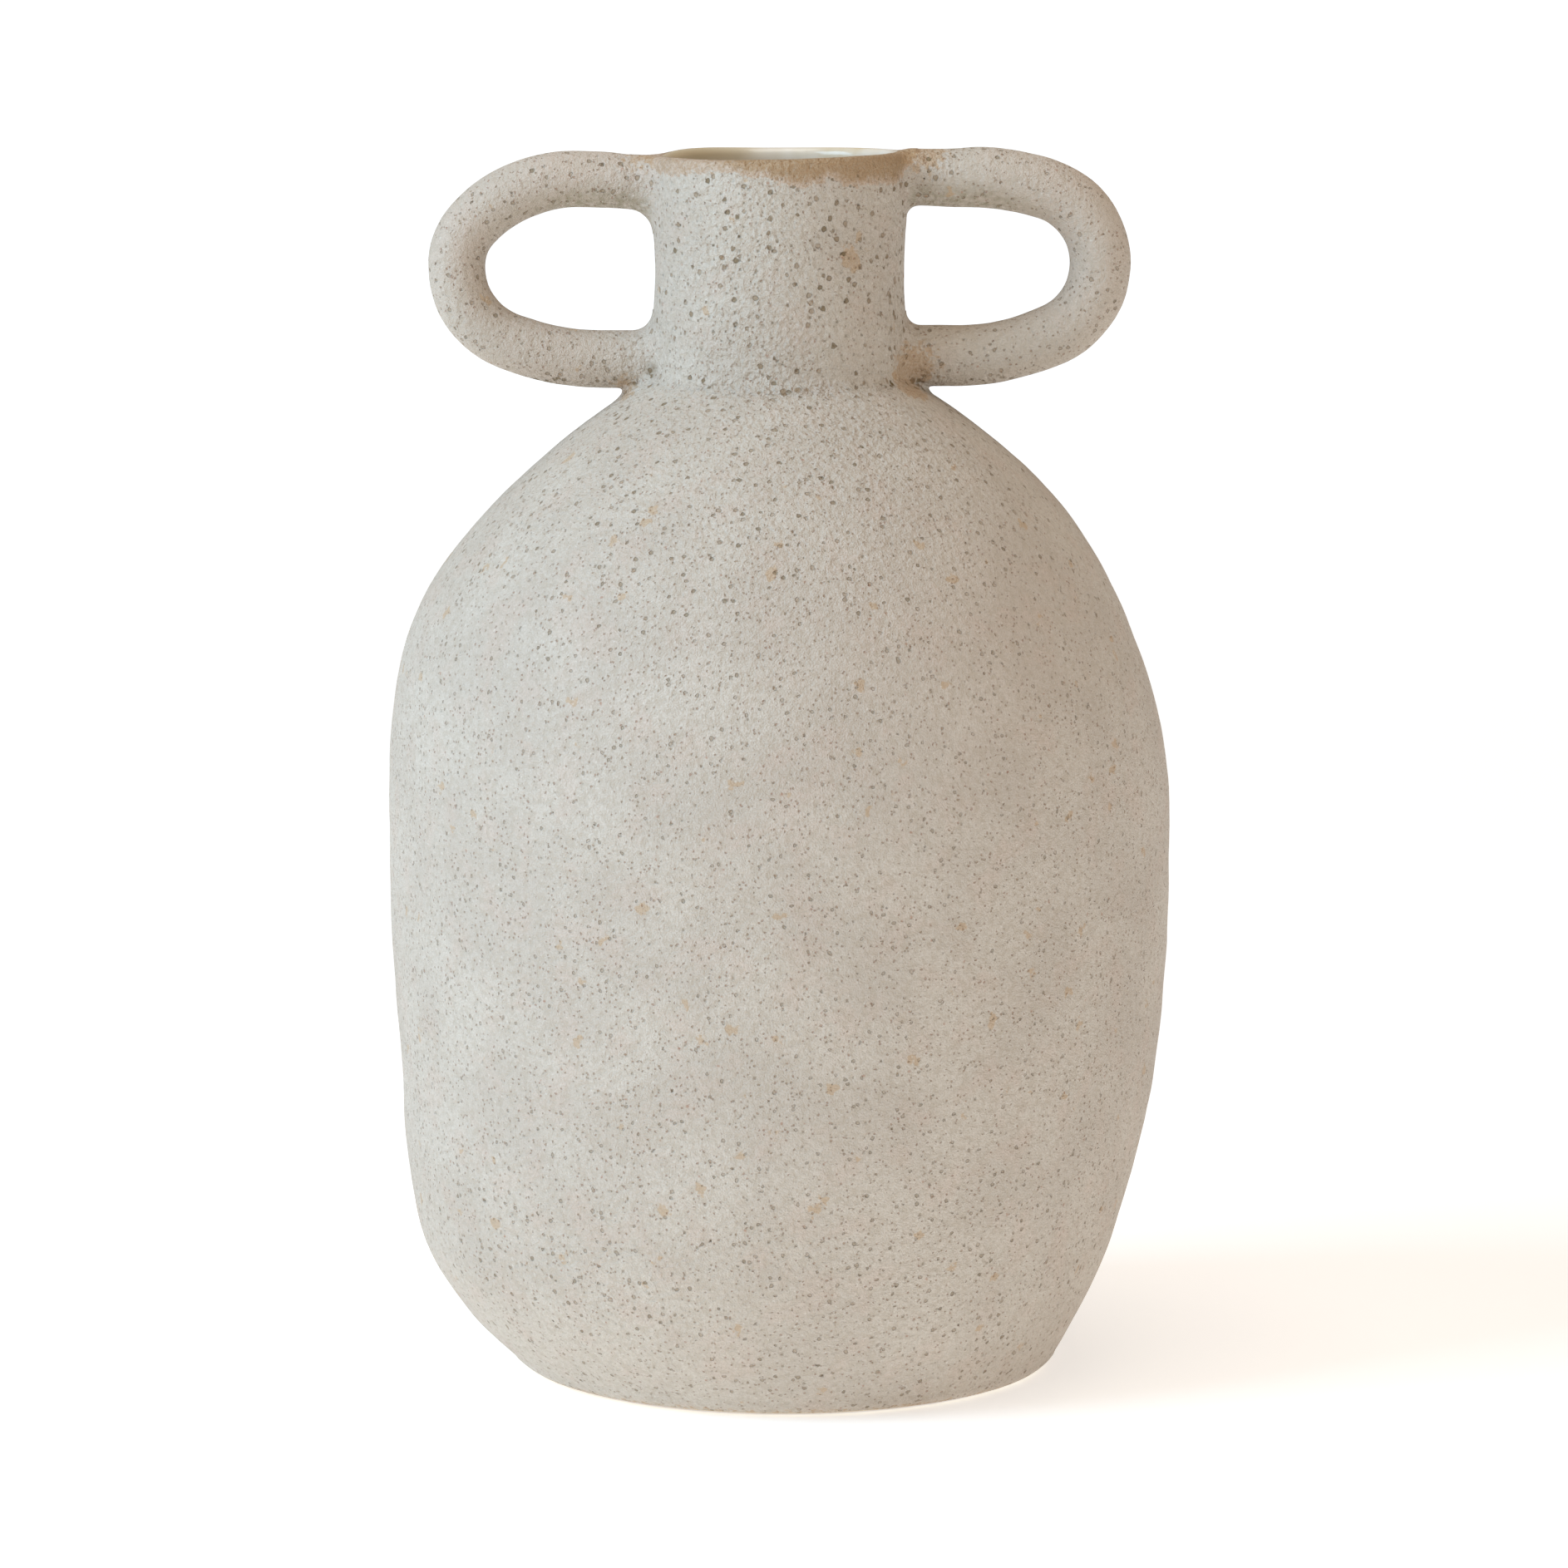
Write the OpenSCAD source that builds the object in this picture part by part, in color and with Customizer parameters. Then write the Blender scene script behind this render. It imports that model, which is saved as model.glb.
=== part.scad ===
// Two-handled stoneware vase: a thrown round body on a turned foot ring, a short straight neck,
// and two loop handles rolled from coils of clay. The axis of the vase is Z and it stands on z = 0.

/* [Body] */
// Height from the table to the crest of the rim
rim_height = 300; // [290:1:310]
// Largest diameter, at the belly
belly_diameter = 192; // [184:1:200]
// Height of the widest point
belly_height = 124; // [120:1:128]
// Height of the shoulder where the neck starts
shoulder_height = 245; // [242:1:248]
// Slope of the shoulder at the neck, in degrees
shoulder_slope = 30.5; // [29:0.5:32]
// Slope of the wall where it leaves the foot, in degrees
foot_slope = 46; // [40:1:52]
// Thickness of the wall at the foot
wall_at_foot = 8; // [6:0.5:10]
// Thickness of the wall at the shoulder
wall_at_shoulder = 6; // [5:0.5:8]

/* [Foot] */
// Radius of the foot ring where the wall starts
foot_radius = 68.3; // [66:0.1:70]
// Height of the foot ring
foot_height = 4; // [3:0.5:5]
// Radius that rounds the outer bottom edge
foot_rounding = 9; // [7:0.5:12]
// Radius of the hollow turned inside the foot ring
foot_hollow_radius = 50; // [46:1:54]
// Thickness of the floor
floor_thickness = 8; // [6:0.5:10]

/* [Neck and mouth] */
// Outer diameter of the neck
neck_diameter = 62; // [58:0.5:66]
// How far the neck narrows between the handles
neck_waist = 0.6; // [0.2:0.1:1.5]
// Diameter of the mouth inside the glaze
mouth_diameter = 54; // [50:0.5:56]
// Thickness of the glossy glaze that lines the inside
liner_thickness = 0.5; // [0.4:0.1:0.8]

/* [Left handle] */
// Thickness of the coil
left_coil_diameter = 14; // [12:0.5:15]
// Distance from the vase's axis to the outside of the loop
left_reach = 86; // [82:0.5:88]
// Depth of the upper arm's centre below the rim
left_upper_drop = 6.3; // [6:0.1:7]
// Depth of the outermost point of the loop below the rim
left_bend_drop = 27.4; // [26:0.1:29]
// Depth of the lower arm's centre below the rim
left_lower_drop = 50.3; // [49:0.1:51]
// Radius of the slow curve of the upper arm
left_upper_bow = 34; // [30:1:38]
// Angle that the slow curve of the upper arm turns through
left_upper_turn = 48; // [40:1:50]
// Radius of the slow curve of the lower arm
left_lower_bow = 64; // [58:1:70]
// Angle that the slow curve of the lower arm turns through
left_lower_turn = 21; // [16:1:26]

/* [Right handle] */
// Thickness of the coil
right_coil_diameter = 15; // [12:0.5:16]
// Distance from the vase's axis to the outside of the loop
right_reach = 85.8; // [82:0.1:88]
// Depth of the upper arm's centre below the rim
right_upper_drop = 5.5; // [5:0.1:7]
// Depth of the outermost point of the loop below the rim
right_bend_drop = 26.7; // [25:0.1:28]
// Depth of the lower arm's centre below the rim
right_lower_drop = 49.4; // [48:0.1:50]
// Radius of the slow curve of the upper arm
right_upper_bow = 64; // [58:1:70]
// Angle that the slow curve of the upper arm turns through
right_upper_turn = 18; // [14:1:24]
// Radius of the slow curve of the lower arm
right_lower_bow = 57; // [52:1:64]
// Angle that the slow curve of the lower arm turns through
right_lower_turn = 25; // [20:1:30]

/* [Joining clay] */
// Radius of the hollow curve smoothed around each handle end
luting_radius = 3.5; // [2:0.5:4]
// Radius of the hollow curve smoothed around the neck
neck_luting_radius = 2.5; // [1.5:0.5:3.5]

/* [Hidden] */
$fn = 96;

GLAZE = "#d2cdc3";
RIM_GLAZE = "#bfae98";
BARE_CLAY = "#d8cdb8";
LINER = "#e8e0cf";

neck_radius = neck_diameter / 2;
mouth_radius = mouth_diameter / 2;
neck_bore_radius = mouth_radius + liner_thickness;
lip_radius = (neck_radius - neck_bore_radius) / 2;
lip_centre_height = rim_height - lip_radius;
liner_top = lip_centre_height - 1;
floor_height = foot_height + floor_thickness;
disc_radius = foot_radius - wall_at_foot;
profile_steps = 14;
lip_steps = 10;
luting_steps = 6;
waist_steps = 8;
bend_steps = 10;
coil_sides = 24;
handle_gap = 24;
waist_low = 258;
waist_high = 283;

// The outer profile is two cubic curves: foot to belly, and belly to neck
foot_point = [foot_radius, foot_height];
belly_point = [belly_diameter / 2, belly_height];
neck_point = [neck_radius, shoulder_height];
lower_curve = [foot_point,
               foot_point + 18 * [cos(foot_slope), sin(foot_slope)],
               belly_point - [0, 78],
               belly_point];
upper_curve = [belly_point,
               belly_point + [0, 26],
               neck_point + 84 * [cos(shoulder_slope), -sin(shoulder_slope)],
               neck_point];

// Point of a cubic curve at t, and its direction there
function curve_point(c, t) =
    pow(1 - t, 3) * c[0] + 3 * pow(1 - t, 2) * t * c[1] + 3 * (1 - t) * t * t * c[2] + pow(t, 3) * c[3];
function curve_direction(c, t) =
    let (v = pow(1 - t, 2) * (c[1] - c[0]) + 2 * (1 - t) * t * (c[2] - c[1]) + t * t * (c[3] - c[2]))
    v / norm(v);

// Point at a given depth into the wall, measured square to the outer surface
function depth_point(c, t, depth) =
    let (v = curve_direction(c, t))
    curve_point(c, t) + depth * [-v.y, v.x];

// Thickness of the wall along the whole profile, u = 0 at the foot and 1 at the neck
function wall_thickness(u) = wall_at_foot + (wall_at_shoulder - wall_at_foot) * u;

// Profile at a depth under the inner surface (0 is the bare wall, more is on the glaze)
function inner_profile(glaze) = concat(
    [for (i = [0:profile_steps - 1])
        let (t = i / profile_steps)
        depth_point(lower_curve, t, wall_thickness(t / 2) + glaze)],
    [for (i = [0:profile_steps])
        let (t = i / profile_steps)
        depth_point(upper_curve, t, wall_thickness(0.5 + t / 2) + glaze)]);

// The part of the inner profile above the floor and outside the neck's bore, closed at both ends
function clipped_inner_profile(glaze, low, bore) =
    let (kept = [for (p = inner_profile(glaze)) if (p.y > low + 1 && p.x > bore + 1) p],
         first = kept[0],
         last = kept[len(kept) - 1])
    concat([[first.x - 2, low]], kept, [[bore, last.y + (last.x - bore) * tan(shoulder_slope)]]);

outer_profile = concat(
    [for (i = [0:profile_steps - 1]) curve_point(lower_curve, i / profile_steps)],
    [for (i = [0:profile_steps]) curve_point(upper_curve, i / profile_steps)]);
bare_inside = clipped_inner_profile(0, floor_height, neck_bore_radius);
glazed_inside = clipped_inner_profile(liner_thickness, floor_height + liner_thickness, mouth_radius);

function reversed(list) = [for (i = [len(list) - 1:-1:0]) list[i]];

// Points on an arc about a centre
function arc_points(centre, radius, from, to, steps) =
    [for (i = [0:steps])
        let (a = from + (to - from) * i / steps)
        centre + radius * [cos(a), sin(a)]];

// Ring turned at the bottom, the only surface that touches the table
module foot_ring() {
    edge_start = acos(0);
    edge_end = asin((foot_rounding - foot_height) / foot_rounding);
    edge_centre = [foot_radius - foot_rounding * cos(edge_end), foot_rounding];
    color(BARE_CLAY)
        rotate_extrude()
            polygon(concat(
                [[foot_hollow_radius, foot_height], [foot_hollow_radius, 1], [foot_hollow_radius + 1, 0]],
                arc_points(edge_centre, foot_rounding, -edge_start, -edge_end, lip_steps)));
}

// Disc that closes the bottom, standing on the foot ring
module base_disc() {
    color(BARE_CLAY)
        translate([0, 0, foot_height])
            cylinder(r = disc_radius, h = floor_thickness);
}

// Thrown wall from the foot ring to the neck, wrapped around the floor disc
module body_wall() {
    color(GLAZE)
        rotate_extrude()
            polygon(concat(
                [[disc_radius, foot_height]],
                outer_profile,
                [[neck_bore_radius, shoulder_height]],
                reversed(bare_inside),
                [[disc_radius, floor_height]]));
}

// Straight neck with a slight waist between the handles and a round lip
module neck_collar() {
    waist = [for (i = [0:waist_steps])
        let (u = i / waist_steps)
        [neck_radius - neck_waist * sin(180 * u), waist_low + (waist_high - waist_low) * u]];
    lip = arc_points([neck_radius - lip_radius, lip_centre_height], lip_radius, 0, 180, lip_steps);
    color(RIM_GLAZE)
        rotate_extrude()
            polygon(concat(
                [[neck_bore_radius, shoulder_height], [neck_radius, shoulder_height]],
                waist,
                lip));
}

// Thin coil smoothed into the corner between neck and shoulder, in front and behind
module neck_joining_coil() {
    along_shoulder = curve_point(upper_curve, (profile_steps - 1) / profile_steps) - neck_point;
    toe = neck_point + neck_luting_radius * along_shoulder / norm(along_shoulder);
    head = neck_point + [0, neck_luting_radius];
    hollow = (toe + head) / 2 + 0.3 * (neck_point - (toe + head) / 2);
    color(GLAZE)
        for (start = [handle_gap, 180 + handle_gap])
            rotate([0, 0, start])
                rotate_extrude(angle = 180 - 2 * handle_gap)
                    polygon([neck_point, toe, hollow, head]);
}

// The neck and the shoulder beside it, as the solid that the handles are pressed against
module handle_seat() {
    shoulder_point = curve_point(upper_curve, (profile_steps - 1) / profile_steps);
    rotate_extrude()
        polygon([[0, shoulder_point.y], shoulder_point, neck_point,
                 [neck_radius, rim_height + 10], [0, rim_height + 10]]);
}

// Centreline of half a loop as [x, height, heading]: a straight arm off the neck, a slow curve, then a
// tight curve to the outermost point, where the heading is 90 degrees
function half_loop_path(reach, rise, bow, turn) =
    let (tight = (rise - bow * (1 - cos(turn))) / cos(turn),
         arm_end = reach - bow * sin(turn) - tight * (1 - sin(turn)))
    concat(
        [[neck_radius - 6, rise, 0]],
        [for (i = [0:bend_steps])
            let (a = turn * i / bend_steps)
            [arm_end + bow * sin(a), rise - bow * (1 - cos(a)), a]],
        [for (i = [1:bend_steps])
            let (a = turn + (90 - turn) * i / bend_steps)
            [reach - tight * (1 - sin(a)), tight * cos(a), a]]);

// Coil swept along a path in the XZ plane, with one ring of points square to it at each path point
module swept_coil(path, coil_radius) {
    points = [for (p = path, k = [0:coil_sides - 1])
        let (a = 360 * k / coil_sides)
        [p[0] + coil_radius * cos(a) * sin(p[2]),
         coil_radius * sin(a),
         p[1] + coil_radius * cos(a) * cos(p[2])]];
    last = len(path) - 1;
    sides = [for (i = [0:last - 1], k = [0:coil_sides - 1])
        let (next = (k + 1) % coil_sides)
        [i * coil_sides + k, (i + 1) * coil_sides + k, (i + 1) * coil_sides + next, i * coil_sides + next]];
    near_end = [for (k = [0:coil_sides - 1]) k];
    far_end = [for (k = [coil_sides - 1:-1:0]) last * coil_sides + k];
    polyhedron(points, concat([near_end], sides, [far_end]));
}

// Whole loop on the +X side, cut to sit on the neck and the shoulder
module loop_handle(coil_diameter, outer_reach, upper_drop, bend_drop, lower_drop,
                   upper_bow, upper_turn, lower_bow, lower_turn) {
    coil_radius = coil_diameter / 2;
    reach = outer_reach - coil_radius;
    upper = half_loop_path(reach, bend_drop - upper_drop, upper_bow, upper_turn);
    lower = half_loop_path(reach, lower_drop - bend_drop, lower_bow, lower_turn);
    returning = [for (i = [len(lower) - 2:-1:0]) [lower[i][0], -lower[i][1], 180 - lower[i][2]]];
    difference() {
        translate([0, 0, rim_height - bend_drop])
            swept_coil(concat(upper, returning), coil_radius);
        handle_seat();
    }
}

// Clay smoothed around one end of a handle on the +X side: a flared collar with a hollow curve
module luting(coil_diameter, drop) {
    coil_radius = coil_diameter / 2;
    flare = concat(
        [[coil_radius, 0], [coil_radius + luting_radius, 0]],
        arc_points([coil_radius + luting_radius, neck_radius + luting_radius],
                   luting_radius, -90, -180, luting_steps));
    difference() {
        translate([0, 0, rim_height - drop])
            rotate([0, 90, 0])
                rotate_extrude()
                    polygon(flare);
        handle_seat();
        translate([0, 0, rim_height])
            cylinder(r = 2 * neck_radius, h = 20);
    }
}

module left_handle() {
    color(GLAZE)
        mirror([1, 0, 0])
            loop_handle(left_coil_diameter, left_reach, left_upper_drop, left_bend_drop, left_lower_drop,
                        left_upper_bow, left_upper_turn, left_lower_bow, left_lower_turn);
}

module right_handle() {
    color(GLAZE)
        loop_handle(right_coil_diameter, right_reach, right_upper_drop, right_bend_drop, right_lower_drop,
                    right_upper_bow, right_upper_turn, right_lower_bow, right_lower_turn);
}

module left_upper_luting() {
    color(RIM_GLAZE)
        mirror([1, 0, 0])
            luting(left_coil_diameter, left_upper_drop);
}

module left_lower_luting() {
    color(GLAZE)
        mirror([1, 0, 0])
            luting(left_coil_diameter, left_lower_drop);
}

module right_upper_luting() {
    color(RIM_GLAZE)
        luting(right_coil_diameter, right_upper_drop);
}

module right_lower_luting() {
    color(RIM_GLAZE)
        luting(right_coil_diameter, right_lower_drop);
}

// Glossy glaze poured inside: over the floor, up the wall and up the bore of the neck
module liner_glaze() {
    color(LINER)
        rotate_extrude()
            polygon(concat(
                [[0, floor_height]],
                bare_inside,
                [[neck_bore_radius, liner_top], [mouth_radius, liner_top]],
                reversed(glazed_inside),
                [[0, floor_height + liner_thickness]]));
}

foot_ring();
base_disc();
body_wall();
neck_collar();
neck_joining_coil();
left_handle();
right_handle();
left_upper_luting();
left_lower_luting();
right_upper_luting();
right_lower_luting();
liner_glaze();
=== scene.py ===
"""Looks of a two-handled stoneware vase, modelled around its CAD frame.

The pot is made as a potter makes it: foot, floor, thrown wall, neck, two rolled handles, the clay that
joins them and the glaze that lines it. All glazed pieces share one glaze, whose pattern reads Object
coordinates, so it runs on without a break from one piece to the next. Lengths are in metres, unless a
docstring or a comment says millimetres.
"""

import bisect
import logging
import math
import random
from collections.abc import Iterable
from dataclasses import dataclass
from enum import Enum
from functools import cached_property

import bmesh
import bpy
from mathutils import Matrix, Vector, noise


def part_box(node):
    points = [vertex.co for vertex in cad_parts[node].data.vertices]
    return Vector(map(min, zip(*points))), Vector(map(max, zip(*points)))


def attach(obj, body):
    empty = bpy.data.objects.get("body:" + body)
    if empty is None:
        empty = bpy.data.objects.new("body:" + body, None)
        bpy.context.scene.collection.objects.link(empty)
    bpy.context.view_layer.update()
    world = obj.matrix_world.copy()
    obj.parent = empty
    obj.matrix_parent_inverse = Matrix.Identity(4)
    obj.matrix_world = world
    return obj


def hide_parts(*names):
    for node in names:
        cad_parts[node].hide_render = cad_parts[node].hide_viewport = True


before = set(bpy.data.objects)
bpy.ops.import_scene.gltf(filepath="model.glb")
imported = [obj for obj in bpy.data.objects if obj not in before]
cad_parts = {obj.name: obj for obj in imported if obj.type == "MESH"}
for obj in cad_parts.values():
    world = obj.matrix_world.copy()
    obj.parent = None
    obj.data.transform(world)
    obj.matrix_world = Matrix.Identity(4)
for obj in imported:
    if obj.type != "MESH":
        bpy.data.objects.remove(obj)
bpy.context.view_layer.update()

MM = 0.001
MERGE = 0.001 * MM
SHARP_ANGLE = math.radians(70)
CORNER_ORDER = Vector((0.61, 0.37, 0.7))  # a slanting direction, along which no two corners lie level
# What the maker and the kiln left on each glazed piece, and the painted shade under the upper arms, kept as
# attributes that the glaze reads.
MARKS = ("pit", "stain", "blush", "rim_band", "bubbled", "seam", "handled", "underside_shade")

Triple = tuple[float, float, float]
Socket = bpy.types.NodeSocket
Tree = bpy.types.NodeTree

log = logging.getLogger("vase")
logging.basicConfig(level=logging.INFO, format="%(message)s")


class Side(Enum):
    """Which side of the neck a handle is on, as the sign of its X."""

    LEFT = -1
    RIGHT = 1


class Level(Enum):
    """Which arm of a handle, as the sign of its height above the bend."""

    LOWER = -1
    UPPER = 1


class Slot(Enum):
    """The record's material slots."""

    BARE_CLAY = "bare_clay"
    MATT_GLAZE = "matt_glaze"
    RIM_GLAZE = "rim_glaze"
    LINER_GLAZE = "liner_glaze"


class Grid(Enum):
    """How the coordinates under a pattern are bent."""

    STRAIGHT = "straight"
    WOBBLY = "wobbly"
    SMEARED = "smeared"


# ------------------------------------------------------------------ helpers


def linear(colour: str) -> tuple[float, float, float, float]:
    """Turns an sRGB hex colour into linear red, green, blue and alpha.

    Args:
        colour: A colour such as "#d4cfc8".

    Returns:
        The linear colour with an alpha of 1.
    """
    parts = [int(colour[i : i + 2], 16) / 255 for i in (1, 3, 5)]
    values = [p / 12.92 if p <= 0.04045 else ((p + 0.055) / 1.055) ** 2.4 for p in parts]
    return (values[0], values[1], values[2], 1.0)


def bell(distance: float, width: float) -> float:
    """Height of a bell curve at a distance from its middle."""
    return math.exp(-0.5 * (distance / width) ** 2)


def smooth(low: float, high: float, value: float) -> float:
    """Smooth step from 0 at low to 1 at high."""
    t = min(1.0, max(0.0, (value - low) / (high - low)))
    return t * t * (3 - 2 * t)


def arc(centre: Vector, radius: float, start: float, end: float, steps: int) -> list[Vector]:
    """Points on an arc in the XZ plane.

    Args:
        centre: Centre of the arc.
        radius: Radius of the arc.
        start: Angle of the first point, from +X towards +Z.
        end: Angle of the last point.
        steps: Steps from the first point to the last.

    Returns:
        The points, with both ends.
    """
    angles = (start + (end - start) * i / steps for i in range(steps + 1))
    return [centre + radius * Vector((math.cos(a), 0, math.sin(a))) for a in angles]


def evenly(points: list[Vector], gap: float) -> list[Vector]:
    """Spaces points evenly along a line of points.

    Args:
        points: The line.
        gap: Rough distance between neighbours.

    Returns:
        The new points, with both ends kept.
    """
    reached = [0.0]
    for here, there in zip(points, points[1:]):
        reached.append(reached[-1] + (there - here).length)
    steps = round(reached[-1] / gap)
    spaced = []
    for i in range(steps):
        goal = reached[-1] * i / steps
        k = bisect.bisect(reached, goal) - 1
        share = (goal - reached[k]) / (reached[k + 1] - reached[k])
        spaced.append(points[k].lerp(points[k + 1], share))
    return [*spaced, points[-1]]


def lathe(
    outline: list[Vector], steps: int, closed: bool = True, axis: Triple = (0, 0, 1)
) -> bmesh.types.BMesh:
    """Spins an outline about an axis through the origin into a closed shell.

    Args:
        outline: Points in the XZ plane.
        steps: Steps in the full turn.
        closed: Whether the outline is a loop. An open one starts and ends on the axis.
        axis: The axis.

    Returns:
        The spun mesh, with its poles merged and its faces pointing outwards.
    """
    bm = bmesh.new()
    verts = [bm.verts.new(p) for p in outline]
    edges = [bm.edges.new(pair) for pair in zip(verts, verts[1:])]
    if closed:
        edges.append(bm.edges.new((verts[-1], verts[0])))
    bmesh.ops.spin(
        bm, geom=verts + edges, cent=(0, 0, 0), axis=axis, angle=math.tau,
        steps=steps, use_merge=True, use_duplicate=False,
    )
    bmesh.ops.remove_doubles(bm, verts=bm.verts, dist=MERGE)
    bmesh.ops.recalc_face_normals(bm, faces=bm.faces)
    return bm


def add_node(
    tree: Tree, kind: str, inputs: dict[int | str, object] | None = None, **settings: object
) -> bpy.types.Node:
    """Adds a node with its settings, and sets or links its inputs.

    Args:
        tree: The node tree.
        kind: The node's type name.
        inputs: Input name or number to a value, or to the output socket that feeds it.
        settings: The node's own properties.

    Returns:
        The new node.
    """
    node = tree.nodes.new(kind)
    for name, value in settings.items():
        setattr(node, name, value)
    for name, value in (inputs or {}).items():
        if isinstance(value, Socket):
            tree.links.new(value, node.inputs[name])
        else:
            node.inputs[name].default_value = value
    return node


def start_finish(name: str) -> tuple[bpy.types.Material, Tree, Socket]:
    """Starts a finish with an empty node tree.

    Args:
        name: The finish's name.

    Returns:
        The material, its tree, and Object coordinates.
    """
    material = bpy.data.materials.new(name)
    material.use_nodes = True
    tree = material.node_tree
    tree.nodes.clear()
    return material, tree, add_node(tree, "ShaderNodeTexCoord").outputs["Object"]


def tinted(tree: Tree, base: str | Socket, top: str | Socket, strength: float, *masks: Socket) -> Socket:
    """Lays a colour over another where some masks overlap.

    Args:
        tree: The finish's node tree.
        base: The colour below, as a hex colour or a socket.
        top: The colour on top, likewise.
        strength: How much it covers where all masks are 1.
        masks: Where it shows.

    Returns:
        The mixed colour.
    """
    amount = strength
    for mask in masks:
        amount = add_node(tree, "ShaderNodeMath", {0: mask, 1: amount}, operation="MULTIPLY").outputs[0]
    below, above = (linear(colour) if isinstance(colour, str) else colour for colour in (base, top))
    return add_node(tree, "ShaderNodeMix", {0: amount, 6: below, 7: above}, data_type="RGBA").outputs[2]


def end_finish(
    tree: Tree, colour: Socket, roughness: float | Socket, ior: float, relief: Socket, depth: float,
    strength: float = 1.0,
) -> None:
    """Ends a finish with its bump and its shader.

    Args:
        tree: The finish's node tree.
        colour: Its colour.
        roughness: Its roughness.
        ior: Its index of refraction.
        relief: Height of its relief, from 0 to 1.
        depth: Depth of the relief.
        strength: Strength of the bump.
    """
    bump = add_node(tree, "ShaderNodeBump", {"Height": relief, "Distance": depth, "Strength": strength})
    shader = add_node(
        tree, "ShaderNodeBsdfPrincipled",
        {"Base Color": colour, "Roughness": roughness, "IOR": ior, "Normal": bump.outputs[0]},
    )
    add_node(tree, "ShaderNodeOutputMaterial", {"Surface": shader.outputs[0]})


# ------------------------------------------------------------------ the form


@dataclass(frozen=True)
class Form:
    """The pot's true form, with the sizes that the CAD nodes give."""

    foot_top: float
    foot_radius: float
    shoulder: float
    floor: float
    neck_radius: float
    rim: float
    belly_radius: float = 96 * MM
    belly_height: float = 124 * MM
    mouth_radius: float = 27 * MM
    foot_rounding: float = 9 * MM
    foot_slope: float = math.radians(46)
    shoulder_slope: float = math.radians(30.5)
    wall_at_foot: float = 8 * MM
    wall_at_shoulder: float = 6 * MM
    foot_reach: float = 18 * MM
    belly_reach_down: float = 78 * MM
    belly_reach_up: float = 26 * MM
    neck_reach: float = 84 * MM
    liner: float = 0.5 * MM
    joint: float = 2.5 * MM

    @staticmethod
    def from_frame() -> "Form":
        """Reads the sizes of the form from the frame's boxes.

        Returns:
            The form.
        """
        foot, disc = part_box("foot_ring"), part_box("base_disc")
        wall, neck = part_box("body_wall"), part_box("neck_collar")
        return Form(
            foot_top=foot[1][2], foot_radius=foot[1][0], shoulder=wall[1][2], floor=disc[1][2],
            neck_radius=neck[1][0], rim=neck[1][2],
        )

    @property
    def lip_radius(self) -> float:
        """Radius of the half-round lip."""
        return (self.neck_radius - self.mouth_radius - self.liner) / 2

    @property
    def lip_centre(self) -> Vector:
        """Centre of the half-round lip."""
        return Vector((self.neck_radius - self.lip_radius, 0, self.rim - self.lip_radius))

    def foot_edge(self) -> tuple[Vector, float]:
        """Rounded outer edge of the foot.

        Returns:
            Its centre, and its angle from straight down to where it meets the wall.
        """
        radius = self.foot_rounding
        angle = math.acos((radius - self.foot_top) / radius)
        return Vector((self.foot_radius - radius * math.sin(angle), 0, radius)), angle

    def curves(self) -> tuple[list[Vector], list[Vector]]:
        """Shapes the outer wall as two Bezier curves.

        Returns:
            Control points from the foot to the belly, and from the belly to the neck.
        """
        foot = Vector((self.foot_radius, 0, self.foot_top))
        belly = Vector((self.belly_radius, 0, self.belly_height))
        neck = Vector((self.neck_radius, 0, self.shoulder))
        lift = Vector((math.cos(self.foot_slope), 0, math.sin(self.foot_slope))) * self.foot_reach
        lean = Vector((math.cos(self.shoulder_slope), 0, -math.sin(self.shoulder_slope)))
        lower = [foot, foot + lift, belly - Vector((0, 0, self.belly_reach_down)), belly]
        upper = [belly, belly + Vector((0, 0, self.belly_reach_up)), neck + lean * self.neck_reach, neck]
        return lower, upper

    def wall_outline(self, steps: int, depth: float = 0.0) -> list[Vector]:
        """Points along the wall from the foot to the neck.

        Args:
            steps: Steps along each of the two curves.
            depth: 0 on the outer surface, 1 on the inner surface of the bare clay.

        Returns:
            The points, lowest first.
        """
        points = []
        for half, curve in enumerate(self.curves()):
            a, b, c, d = curve
            for i in range(steps + half):
                t = i / steps
                s = 1 - t
                point = s**3 * a + 3 * s * s * t * b + 3 * s * t * t * c + t**3 * d
                along = s * s * (b - a) + 2 * s * t * (c - b) + t * t * (d - c)
                along.normalize()
                height = (half + t) / 2
                wall = self.wall_at_foot + (self.wall_at_shoulder - self.wall_at_foot) * height
                points.append(point + Vector((-along.z, 0, along.x)) * wall * depth)
        return points

    def fillet(self, steps: int = 8) -> list[Vector]:
        """Hollow curve that smooths the neck into the shoulder.

        Args:
            steps: Steps along the curve.

        Returns:
            The points, lowest first.
        """
        half = math.radians(45) + self.shoulder_slope / 2
        radius = self.joint * math.tan(half)
        centre = Vector((self.neck_radius + radius, 0, self.shoulder + self.joint))
        return arc(centre, radius, math.tau - 2 * half, math.pi, steps)

    def lip(self, steps: int = 9) -> list[Vector]:
        """Half-round lip, from the outside of the neck over to the bore."""
        return arc(self.lip_centre, self.lip_radius, 0, math.pi, steps)

    @cached_property
    def skin(self) -> list[tuple[float, float]]:
        """Samples the outer skin.

        Returns:
            Heights and radii, from the foot to the crest of the lip.
        """
        joint = self.fillet()
        wall = [p for p in self.wall_outline(40) if p.z < joint[0].z]
        lip = [p for p in self.lip(18) if p.x >= (self.neck_radius + self.mouth_radius) / 2]
        return [(p.z, p.x) for p in wall + joint + lip]

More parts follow.
